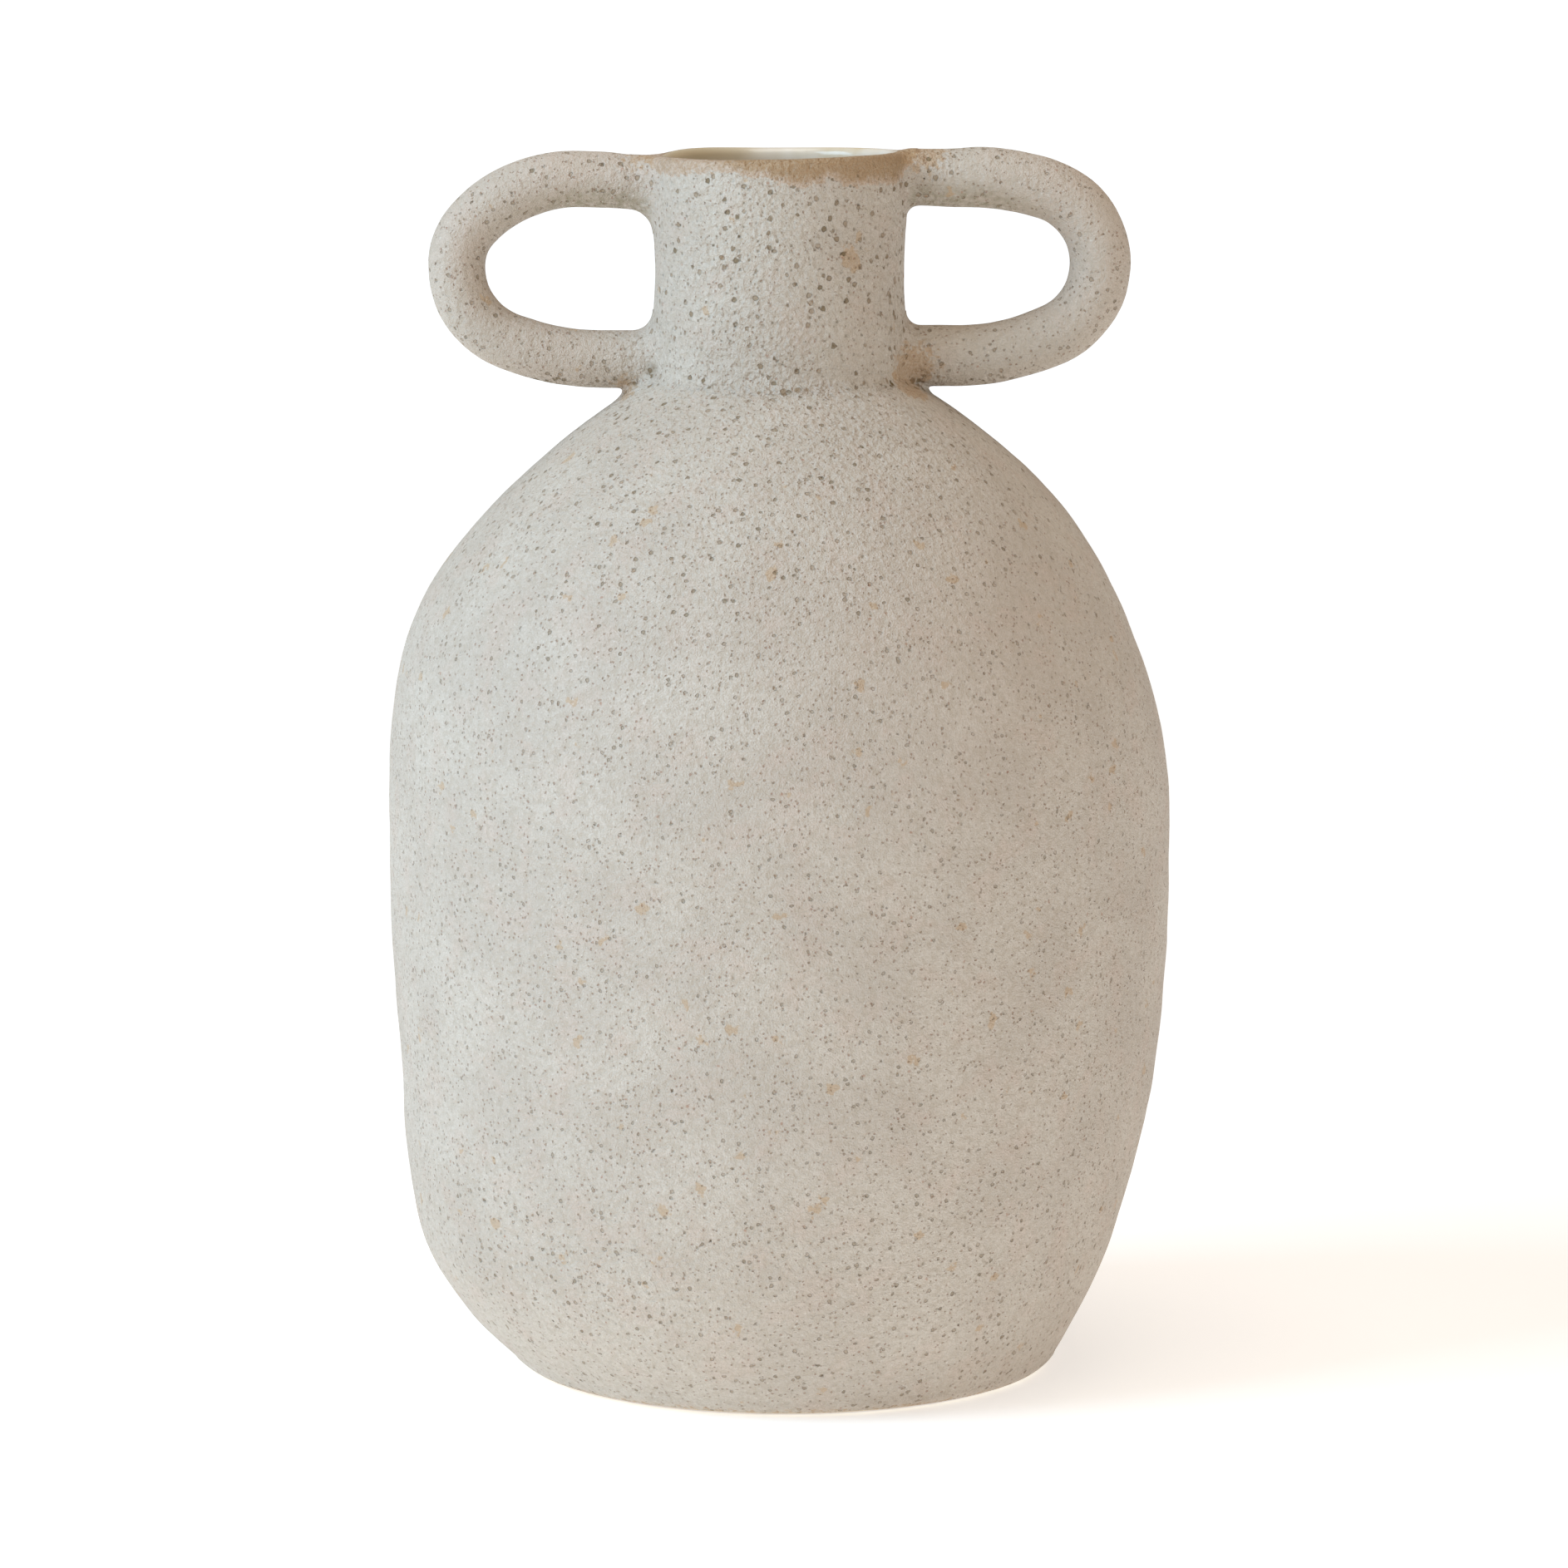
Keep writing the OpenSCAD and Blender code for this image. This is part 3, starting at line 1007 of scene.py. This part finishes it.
@dataclass(frozen=True)
class BareStoneware:
    """Fired stoneware wiped clean of glaze. It gives the foot a pale, dry, slightly gritty edge."""

    buff: str = "#ece4d2"
    shade: str = "#d8cbb0"
    grog: str = "#8f7554"
    contact: str = "#8a6a4c"
    roughness: float = 0.85
    ior: float = 1.5
    cloud_width: float = 9 * MM
    grog_gap: float = 1.6 * MM
    grog_edge: tuple[float, float] = (0.1, 0.24)
    contact_height: tuple[float, float] = (0.12 * MM, 0.3 * MM)
    grit: float = 0.06 * MM

    def build(self) -> bpy.types.Material:
        """Builds the bare clay, with its grog specks and a brown line along the lowest 0.3 mm of the foot.

        Returns:
            The material.
        """
        material, tree, place = start_finish("bare_fired_stoneware")
        clouds = add_node(
            tree, "ShaderNodeTexNoise", {"Vector": place, "Scale": 1 / self.cloud_width, "Detail": 3.0}
        )
        grit = add_node(tree, "ShaderNodeTexVoronoi", {"Vector": place, "Scale": 1 / self.grog_gap})
        height = add_node(tree, "ShaderNodeSeparateXYZ", {"Vector": place})
        specks, line = (
            add_node(tree, "ShaderNodeMapRange", {0: value, 1: start, 2: end, 3: 1.0, 4: 0.0}).outputs[0]
            for value, (start, end) in (
                (grit.outputs["Distance"], self.grog_edge), (height.outputs["Z"], self.contact_height),
            )
        )
        colour = tinted(tree, self.buff, self.shade, 1.0, clouds.outputs["Fac"])
        colour = tinted(tree, colour, self.grog, 1.0, specks)
        colour = tinted(tree, colour, self.contact, 1.0, line)
        end_finish(tree, colour, self.roughness, self.ior, grit.outputs["Distance"], self.grit, 0.7)
        return material


# ------------------------------------------------------------------ sub-assemblies


@dataclass(frozen=True)
class Pot:
    """What all sub-assemblies share: the true form, the maker's hand, the firing and the finishes."""

    form: Form
    hand: Hand
    firing: Firing
    finishes: dict[Slot, bpy.types.Material]

    def add_piece(self, bm: bmesh.types.BMesh, name: str, slot: Slot) -> bpy.types.Object:
        """Fires a mesh and adds it as a piece that stands for the CAD node of the same name.

        Args:
            bm: The finished mesh, which is freed.
            name: The piece's name.
            slot: The record's slot of its finish.

        Returns:
            The new object.
        """
        if slot in (Slot.MATT_GLAZE, Slot.RIM_GLAZE):
            self.firing.colour(bm, self.form, self.hand.rim_tilt)
        self.hand.settle(bm, self.form)
        for face in bm.faces:
            face.smooth = True
        mesh = bpy.data.meshes.new(name)
        bm.to_mesh(mesh)
        bm.free()
        mesh.set_sharp_from_angle(angle=SHARP_ANGLE)
        mesh.materials.append(self.finishes[slot])
        piece = bpy.data.objects.new(name, mesh)
        bpy.context.scene.collection.objects.link(piece)
        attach(piece, "root")
        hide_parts(name)
        mesh.calc_loop_triangles()
        log.info("%s: %d triangles", name, len(mesh.loop_triangles))
        return piece


@dataclass
class Foot:
    """The turned foot ring and the floor disc, both left bare underneath."""

    pot: Pot
    hollow_radius: float = 50 * MM
    inner_rounding: float = 1.2 * MM
    dish: float = 0.25 * MM
    steps: int = 288

    def ring(self) -> bpy.types.Object:
        """Turns the foot ring: a flat tread, a softened inner edge and a round outer edge.

        Returns:
            The foot ring.
        """
        form, inner, soft = self.pot.form, self.hollow_radius, self.inner_rounding
        centre, angle = form.foot_edge()
        outline = [
            Vector((inner, 0, form.foot_top)), Vector((inner, 0, soft + 0.2 * MM)),
            *arc(Vector((inner + soft, 0, soft)), soft, math.pi, 1.5 * math.pi, 5),
            *arc(centre, form.foot_rounding, -math.pi / 2, angle - math.pi / 2, 16),
        ]
        return self.pot.add_piece(lathe(outline, self.steps), "foot_ring", Slot.BARE_CLAY)

    def disc(self) -> bpy.types.Object:
        """Turns the floor disc, slightly dished underneath as a trimming tool leaves it.

        Returns:
            The floor disc.
        """
        form = self.pot.form
        radius = form.foot_radius - form.wall_at_foot
        under = [
            Vector((radius * i / 24, 0, form.foot_top + self.dish * math.sin(i * 1.9) ** 2 * (i < 20)))
            for i in range(25)
        ]
        over = [Vector((radius * (24 - i) / 24, 0, form.floor)) for i in range(25)]
        bm = lathe(under + over, self.steps, closed=False)
        return self.pot.add_piece(bm, "base_disc", Slot.BARE_CLAY)

    def build(self) -> None:
        """Builds both pieces."""
        self.ring()
        self.disc()


@dataclass
class Body:
    """The thrown wall, from the foot to the shoulder."""

    pot: Pot
    pits: Pits = Pits(seed=11)
    ring_gap: float = 1.85 * MM
    around: int = 360
    up: int = 60
    inner_up: int = 8
    hem_gap: float = 0.3 * MM
    hem_start: float = math.radians(31)

    def hem(self) -> list[Vector]:
        """Rounded edge of the glaze where it was wiped off the foot ring.

        Returns:
            The points, from the hidden side out.
        """
        form = self.pot.form
        centre, angle = form.foot_edge()
        start = self.hem_start - math.pi / 2
        outside = arc(centre, form.foot_rounding + self.hem_gap, start, angle - math.pi / 2, 5)[:-1]
        tucked = arc(centre, form.foot_rounding * 0.93, start, 0, 1)[0]
        edge = (tucked + 3 * outside[0]) / 4 + Vector((-0.15 * MM, 0, 0))
        return [Vector((tucked.x, 0, form.foot_top)), tucked, edge, *outside]

    def is_skin(self, point: Vector) -> bool:
        """Whether a point lies on the outer skin, clear of the foot and the neck.

        Args:
            point: The point.

        Returns:
            True on the skin.
        """
        form, radius = self.pot.form, math.hypot(point.x, point.y)
        if point.z < form.foot_top - 0.1 * MM or radius < form.neck_radius + 0.4 * MM:
            return False
        return radius > form.skin_radius(point.z) - 2 * MM

    def build(self) -> bpy.types.Object:
        """Throws the wall as one closed shell, marks it, pits its glaze and settles it.

        Returns:
            The wall.
        """
        form = self.pot.form
        outer = evenly(form.wall_outline(self.up), self.ring_gap)
        outer[0].x += self.hem_gap * 0.6
        tuck = outer[-1] + Vector((-2.2 * MM, 0, 1.2 * MM))
        bore = Vector((form.mouth_radius + form.liner, 0, form.shoulder - 5.5 * MM))
        inner = [
            p for p in form.wall_outline(self.inner_up, 1.0)
            if p.z > form.floor + 1 * MM and p.x > form.mouth_radius + 2 * MM
        ]
        disc = form.foot_radius - form.wall_at_foot
        seat = [Vector((disc, 0, form.floor)), Vector((disc, 0, form.foot_top))]
        bm = lathe([*seat, *self.hem(), *outer, tuck, bore, *reversed(inner)], self.around)
        skin = {v for v in bm.verts if self.is_skin(v.co)}
        self.pot.hand.press(bm, skin, 1.0, 1.0, fade=(form.foot_top - 1 * MM, form.foot_top + 8 * MM))
        self.pits.cut(bm, [f for f in bm.faces if all(v in skin for v in f.verts)])
        return self.pot.add_piece(bm, "body_wall", Slot.MATT_GLAZE)


@dataclass
class Neck:
    """The straight collar with its rolled lip, and the coil of clay that joins it to the shoulder."""

    pot: Pot
    pits: Pits = Pits(seed=23, spacing=4.4 * MM, largest=0.8 * MM, depth=0.4 * MM)
    around: int = 168
    row: float = 1.15 * MM
    root: float = 243 * MM
    waist: float = 0.6 * MM
    waist_low: float = 258 * MM
    waist_high: float = 283 * MM
    coil_heel: float = 1.4 * MM

    def collar(self) -> bpy.types.Object:
        """Throws the collar: straight, slightly waisted, with a half-round lip.

        Returns:
            The collar.
        """
        form = self.pot.form
        lip = form.lip()
        rows = round((lip[0].z - self.root) / self.row)
        side = []
        for i in range(rows):
            z = self.root + (lip[0].z - self.root) * i / rows
            share = min(1.0, max(0.0, (z - self.waist_low) / (self.waist_high - self.waist_low)))
            side.append(Vector((form.neck_radius - self.waist * math.sin(math.pi * share), 0, z)))
        bore = [
            Vector((form.mouth_radius + form.liner, 0, lip[-1].z + (self.root - lip[-1].z) * i / 6))
            for i in range(1, 7)
        ]
        bm = lathe([*side, *lip, *bore], self.around)
        skin = {v for v in bm.verts if math.hypot(v.co.x, v.co.y) > form.neck_radius - 2.6 * MM}
        self.pot.hand.press(bm, skin, 0.6, 1.0, 0.5)
        low_lip = form.rim - 4 * MM
        self.pits.cut(bm, [f for f in bm.faces if all(v in skin and v.co.z < low_lip for v in f.verts)])
        return self.pot.add_piece(bm, "neck_collar", Slot.RIM_GLAZE)

    def joining_coil(self) -> bpy.types.Object:
        """Smooths a thin coil into the corner between the collar and the shoulder.

        Returns:
            The coil.
        """
        form = self.pot.form
        hollow = form.fillet(10)
        buried = form.neck_radius - self.coil_heel
        heel = [
            Vector((buried, 0, hollow[-1].z)), Vector((buried, 0, hollow[0].z - self.coil_heel)),
            hollow[0] + Vector((-0.3 * MM, 0, -1.2 * MM)),
        ]
        bm = lathe([*hollow, *heel], self.around)
        self.pot.hand.press(bm, bm.verts, 0.8, 1.2)
        return self.pot.add_piece(bm, "neck_joining_coil", Slot.MATT_GLAZE)

    def build(self) -> None:
        """Builds both pieces."""
        self.collar()
        self.joining_coil()


@dataclass(frozen=True)
class Arm:
    """Half of a handle's loop: its height, its wide curve and the clay smoothed around its end."""

    height: float
    bow: float
    turn: float
    luting: float = 3.5 * MM
    dip: float = 0.0


@dataclass
class Handle:
    """A loop rolled from one coil, and the clay smoothed around both of its ends."""

    pot: Pot
    side: Side
    coil: float
    reach: float
    bend: float
    arms: dict[Level, Arm]
    pits: Pits
    sides: int = 36
    step: float = 1.25 * MM
    root: float = 28.4 * MM
    lumps: float = 1.1
    bulges: float = 0.4
    buried: float = 1.2 * MM

    @property
    def label(self) -> str:
        """Name of the side."""
        return self.side.name.lower()

    def half(self, level: Level) -> list[tuple[Vector, float, float, float]]:
        """Works out one half of the loop: a straight arm, a wide curve and a tight one.

        Args:
            level: Which half.

        Returns:
            Centre, angle, radius and straight length of each, from the neck outwards.
        """
        arm = self.arms[level]
        rise = abs(arm.height - self.bend)
        tight = (rise - arm.bow * (1 - math.cos(arm.turn))) / math.cos(arm.turn)
        hub = self.reach - self.coil
        end = hub - arm.bow * math.sin(arm.turn) - tight * (1 - math.sin(arm.turn))
        return [
            (Vector(), 0.0, 0.0, level.value * (end - self.root)),
            (Vector((end, 0, self.bend + level.value * (rise - arm.bow))), arm.turn, arm.bow, 0.0),
            (Vector((hub - tight, 0, self.bend)), math.pi / 2 - arm.turn, tight, 0.0),
        ]

    def loop(self) -> bpy.types.Object:
        """Rolls the coil and bends it into the loop.

        Returns:
            The loop.
        """
        bm = bmesh.new()
        start = Matrix.Translation((self.root, 0, self.arms[Level.UPPER].height))
        circle = bmesh.ops.create_circle(
            bm, cap_ends=False, radius=self.coil, segments=self.sides,
            matrix=start @ Matrix.Rotation(math.pi / 2, 4, "Y"),
        )
        ring = circle["verts"] + list(bm.edges)
        for centre, angle, radius, run in self.half(Level.UPPER) + self.half(Level.LOWER)[::-1]:
            steps = max(2, round((abs(run) + angle * radius) / self.step))
            ring = bmesh.ops.spin(
                bm, geom=ring, cent=centre, axis=(0, 1, 0), dvec=(run / steps, 0, 0), angle=angle,
                steps=steps, use_merge=False, use_duplicate=False,
            )["geom_last"]
        bmesh.ops.remove_doubles(bm, verts=bm.verts, dist=MERGE)
        bmesh.ops.holes_fill(bm, edges=[e for e in bm.edges if e.is_boundary], sides=self.sides)
        self.thin_ends(bm)
        bmesh.ops.scale(bm, vec=(self.side.value, 1, 1), verts=bm.verts)
        bmesh.ops.recalc_face_normals(bm, faces=bm.faces)
        self.pot.hand.press(bm, bm.verts, 0.0, self.lumps, self.bulges)
        clear = self.pot.form.neck_radius + 3 * MM
        self.pits.cut(bm, [
            f for f in bm.faces if len(f.verts) == 4 and abs(f.calc_center_median().x) > clear
        ])
        return self.pot.add_piece(bm, f"{self.label}_handle", Slot.MATT_GLAZE)

    def thin_ends(self, bm: bmesh.types.BMesh) -> None:
        """Thins both ends of the coil, which lie inside the clay smoothed around them.

        Args:
            bm: The coil's mesh on the +X side.
        """
        neck = self.pot.form.neck_radius
        for vert in bm.verts:
            arm = self.arms[Level.UPPER if vert.co.z > self.bend else Level.LOWER]
            thin = 1 - 0.3 * (1 - smooth(neck - 2 * MM, neck + arm.luting - 1 * MM, vert.co.x))
            vert.co.y *= thin
            vert.co.z = arm.height + (vert.co.z - arm.height) * thin if thin < 1 else vert.co.z
            back = max(0.0, (vert.co.z - arm.height) / self.coil)
            vert.co.z -= arm.dip * back * (1 - smooth(neck + 2 * MM, neck + 24 * MM, vert.co.x))

    def luting(self, level: Level) -> bpy.types.Object:
        """Smooths clay around one end: a flared collar that follows the neck and the shoulder.

        Args:
            level: Which end.

        Returns:
            The collar.
        """
        arm, form, buried = self.arms[level], self.pot.form, self.buried
        spread = arm.luting
        outline = [
            Vector((spread + 1.5 * MM, 0, self.coil - 0.12 * MM)),
            *arc(Vector((spread, 0, self.coil + spread)), spread, -math.pi / 2, -math.pi, 10),
            Vector((-buried, 0, self.coil + spread)),
            Vector((-buried, 0, self.coil - buried)),
            Vector((spread + buried, 0, self.coil - buried)),
        ]
        bm = lathe(outline, 2 * self.sides, axis=(1, 0, 0))
        top = arm.height + self.coil - arm.dip
        for vert in bm.verts:
            out, across, up = vert.co
            z = arm.height + up
            if out < 0 or math.hypot(across, up) < self.coil - 0.5 * MM:
                z = min(z, form.rim - 2 * MM)
            z = min(z, top + (form.rim - top) * smooth(0, 1, 1 - out / spread))
            seat = form.skin_radius(z)
            vert.co = (math.sqrt(seat * seat - across * across) + out, across, z)
        bmesh.ops.scale(bm, vec=(self.side.value, 1, 1), verts=bm.verts)
        bmesh.ops.recalc_face_normals(bm, faces=bm.faces)
        self.pot.hand.press(bm, bm.verts, 0.0, self.lumps, self.bulges)
        plain = self.side is Side.LEFT and level is Level.LOWER
        slot = Slot.MATT_GLAZE if plain else Slot.RIM_GLAZE
        return self.pot.add_piece(bm, f"{self.label}_{level.name.lower()}_luting", slot)

    def build(self) -> None:
        """Builds the loop and both lutings."""
        self.loop()
        for level in (Level.UPPER, Level.LOWER):
            self.luting(level)


@dataclass
class Lining:
    """The glossy glaze poured inside, over the floor, up the wall and up the bore to the lip."""

    pot: Pot
    around: int = 160
    up: int = 22
    bore_rows: int = 26
    edge_turn: float = 74
    # Degrees over the lip, and the glaze's thickness there as a share of the liner's.
    over_lip: tuple[tuple[float, float], ...] = ((58, 0.3), (40, 0.5), (20, 0.7), (0, 0.9))
    bore_wave: float = 0.12 * MM
    bore_wave_width: float = 9 * MM

    def side(self, depth: float, floor: float, bore: float, top: float) -> list[Vector]:
        """One face of the glaze from the axis to the top of the bore.

        Args:
            depth: Depth of the face into the wall, in wall thicknesses of the wall's middle.
            floor: Height of the face over the floor.
            bore: Radius of the face in the bore.
            top: Height at which it ends.

        Returns:
            The points.
        """
        form, rows = self.pot.form, self.bore_rows
        wall = [p for p in form.wall_outline(self.up, depth) if p.z > floor + 1 * MM and p.x > bore + 1 * MM]
        rise = wall[-1].z + (wall[-1].x - bore) * math.tan(form.shoulder_slope)
        corner = wall[0].x - 2 * MM
        flat = [Vector((corner * i / 12, 0, floor)) for i in range(13)]
        neck = [Vector((bore, 0, rise + (top - rise) * i / rows)) for i in range(rows + 1)]
        return flat + wall + neck

    def build(self) -> bpy.types.Object:
        """Pours the glaze as one closed skin that thins out over the lip.

        Returns:
            The lining.
        """
        form, centre = self.pot.form, self.pot.form.lip_centre
        film = form.liner / (form.wall_at_foot + form.wall_at_shoulder) * 2
        outside = self.side(1.0, form.floor, form.mouth_radius + form.liner, centre.z)
        inside = self.side(1.0 + film, form.floor + form.liner, form.mouth_radius, centre.z - 1 * MM)
        edge, *swollen = (
            centre + Vector((-math.cos(a), 0, math.sin(a))) * (form.lip_radius + thickness)
            for a, thickness in (
                (math.radians(self.edge_turn), 0.04 * MM),
                *((math.radians(turn), form.liner * thin) for turn, thin in self.over_lip),
            )
        )
        bm = lathe([*outside, edge, *swollen, *reversed(inside)], self.around, closed=False)
        bm.normal_update()
        for vert in bm.verts:
            if math.hypot(vert.co.x, vert.co.y) < form.mouth_radius + 0.2 * MM and vert.co.z > form.shoulder:
                vert.co += vert.normal * self.bore_wave * noise.noise(vert.co / self.bore_wave_width)
        return self.pot.add_piece(bm, "liner_glaze", Slot.LINER_GLAZE)


# ------------------------------------------------------------------ studio


@dataclass(frozen=True)
class Softbox:
    """A large square soft light: its place, its size, its power in watts and its linear colour."""

    name: str
    place: Triple
    size: float
    power: float
    colour: Triple

    def hang(self, aim: Triple) -> None:
        """Hangs the light so that it faces a point.

        Args:
            aim: The point.
        """
        light = bpy.data.lights.new(self.name, "AREA")
        light.shape = "SQUARE"
        light.size = self.size
        light.energy = self.power
        light.color = self.colour
        lamp = bpy.data.objects.new(self.name, light)
        lamp.location = self.place
        lamp.rotation_euler = (Vector(aim) - lamp.location).to_track_quat("-Z", "Y").to_euler()
        bpy.context.scene.collection.objects.link(lamp)


@dataclass
class Studio:
    """Pale floor, soft cool key from the left, warm fill all round, and the camera."""

    softboxes: tuple[Softbox, ...] = (
        Softbox("key_softbox", (-1.75, -0.75, 1.45), 1.3, 40.6, (0.49, 0.75, 1.0)),
        Softbox("top_softbox", (0.0, -0.25, 1.6), 1.0, 7.2, (1.0, 0.93, 0.85)),
    )
    aim: Triple = (0.0, 0.0, 0.15)
    fill_colour: Triple = (0.41, 0.35, 0.293)
    backdrop: Triple = (1.0, 1.0, 1.0)
    floor_size: float = 40.0
    paper: tuple[str, str] = ("#f3f1ee", "#efece8")
    # The paper glows faintly, so that it stays white and lights the vase from below: distances from the
    # vase, glow and its colour.
    near: tuple[float, float] = (0.08, 0.4)
    far: tuple[float, float] = (0.6, 3.0)
    near_glow: float = 0.52
    mid_glow: float = 0.47
    far_glow: float = 0.88
    near_colour: Triple = (0.92, 0.93, 0.94)
    far_colour: Triple = (0.83, 0.92, 1.0)
    lens: float = 154.86  # millimetres, on a sensor 36 mm wide
    camera_place: Triple = (0.00105, -1.650, 0.378)
    camera_tilt: float = math.radians(8.051)

    def paper_finish(self) -> bpy.types.Material:
        """Makes matt white studio paper, which gives an even, faintly fibrous ground.

        Returns:
            The material.
        """
        material, tree, place = start_finish("matt_white_studio_paper")
        away = add_node(tree, "ShaderNodeVectorMath", {0: place}, operation="LENGTH").outputs["Value"]
        glow, far = (
            add_node(tree, "ShaderNodeMapRange", {0: away, 1: start, 2: end, 3: low, 4: high}).outputs[0]
            for (start, end), low, high in (
                (self.near, self.near_glow, self.mid_glow), (self.far, 0.0, 1.0),
            )
        )
        glow = add_node(
            tree, "ShaderNodeMath", {0: far, 1: self.far_glow - self.mid_glow, 2: glow},
            operation="MULTIPLY_ADD",
        ).outputs[0]
        glow_colour = add_node(
            tree, "ShaderNodeMix", {0: far, 6: (*self.near_colour, 1.0), 7: (*self.far_colour, 1.0)},
            data_type="RGBA",
        ).outputs[2]
        fibre = add_node(tree, "ShaderNodeTexNoise", {"Vector": place, "Scale": 1 / (2 * MM), "Detail": 2.0})
        shader = add_node(
            tree, "ShaderNodeBsdfPrincipled",
            {"Base Color": tinted(tree, *self.paper, 1.0, fibre.outputs["Fac"]), "Roughness": 0.9,
             "Emission Color": glow_colour, "Emission Strength": glow},
        )
        add_node(tree, "ShaderNodeOutputMaterial", {"Surface": shader.outputs[0]})
        return material

    def floor(self) -> None:
        """Lays the seamless paper that the vase stands on."""
        bm = bmesh.new()
        bmesh.ops.create_grid(bm, x_segments=24, y_segments=24, size=self.floor_size)
        mesh = bpy.data.meshes.new("studio_floor")
        bm.to_mesh(mesh)
        bm.free()
        mesh.materials.append(self.paper_finish())
        paper = bpy.data.objects.new("studio_floor", mesh)
        bpy.context.scene.collection.objects.link(paper)

    def surround(self) -> None:
        """Fills the room with soft warm light behind a plain white backdrop."""
        world = bpy.data.worlds.new("studio_surround")
        bpy.context.scene.world = world
        world.use_nodes = True
        tree = world.node_tree
        tree.nodes.clear()
        seen = add_node(tree, "ShaderNodeLightPath").outputs["Is Camera Ray"]
        fill, white = (
            add_node(tree, "ShaderNodeBackground", {"Color": (*colour, 1.0), "Strength": 1.0}).outputs[0]
            for colour in (self.fill_colour, self.backdrop)
        )
        both = add_node(tree, "ShaderNodeMixShader", {0: seen, 1: fill, 2: white})
        add_node(tree, "ShaderNodeOutputWorld", {"Surface": both.outputs[0]})

    def camera(self) -> None:
        """Sets the camera up with a long lens, looking slightly down."""
        lens = bpy.data.cameras.new("camera")
        lens.lens = self.lens
        lens.sensor_width = 36.0
        camera = bpy.data.objects.new("camera", lens)
        camera.location = self.camera_place
        camera.rotation_euler = (math.pi / 2 - self.camera_tilt, 0, 0)
        bpy.context.scene.collection.objects.link(camera)
        bpy.context.scene.camera = camera

    def build(self) -> None:
        """Sets up the whole studio, with colours shown as they are."""
        self.floor()
        self.surround()
        for softbox in self.softboxes:
            softbox.hang(self.aim)
        self.camera()
        view = bpy.context.scene.view_settings
        view.view_transform = "Standard"
        view.look = "None"


# ------------------------------------------------------------------ the vase


def main() -> None:
    """Builds the vase, its finishes and its studio."""
    glaze = MattPittedGlaze().build()
    pot = Pot(Form.from_frame(), Hand(), Firing(), {
        Slot.MATT_GLAZE: glaze,
        Slot.RIM_GLAZE: glaze,
        Slot.LINER_GLAZE: GlossLinerGlaze().build(),
        Slot.BARE_CLAY: BareStoneware().build(),
    })
    Foot(pot).build()
    Body(pot).build()
    Neck(pot).build()
    Handle(
        pot, Side.LEFT, coil=7 * MM, reach=86 * MM, bend=272.6 * MM,
        arms={
            Level.UPPER: Arm(293.7 * MM, bow=34 * MM, turn=math.radians(48), luting=6 * MM, dip=0.4 * MM),
            Level.LOWER: Arm(249.7 * MM, bow=64 * MM, turn=math.radians(21), luting=5.2 * MM),
        },
        pits=Pits(seed=31, spacing=5 * MM, depth=0.35 * MM),
    ).build()
    Handle(
        pot, Side.RIGHT, coil=7.5 * MM, reach=85.8 * MM, bend=273.3 * MM,
        arms={
            Level.UPPER: Arm(294.3 * MM, bow=64 * MM, turn=math.radians(18), luting=3 * MM, dip=1.3 * MM),
            Level.LOWER: Arm(250.6 * MM, bow=57 * MM, turn=math.radians(25)),
        },
        pits=Pits(seed=37, spacing=5 * MM, depth=0.35 * MM),
    ).build()
    Lining(pot).build()
    Studio().build()


if __name__ == "__main__":
    main()
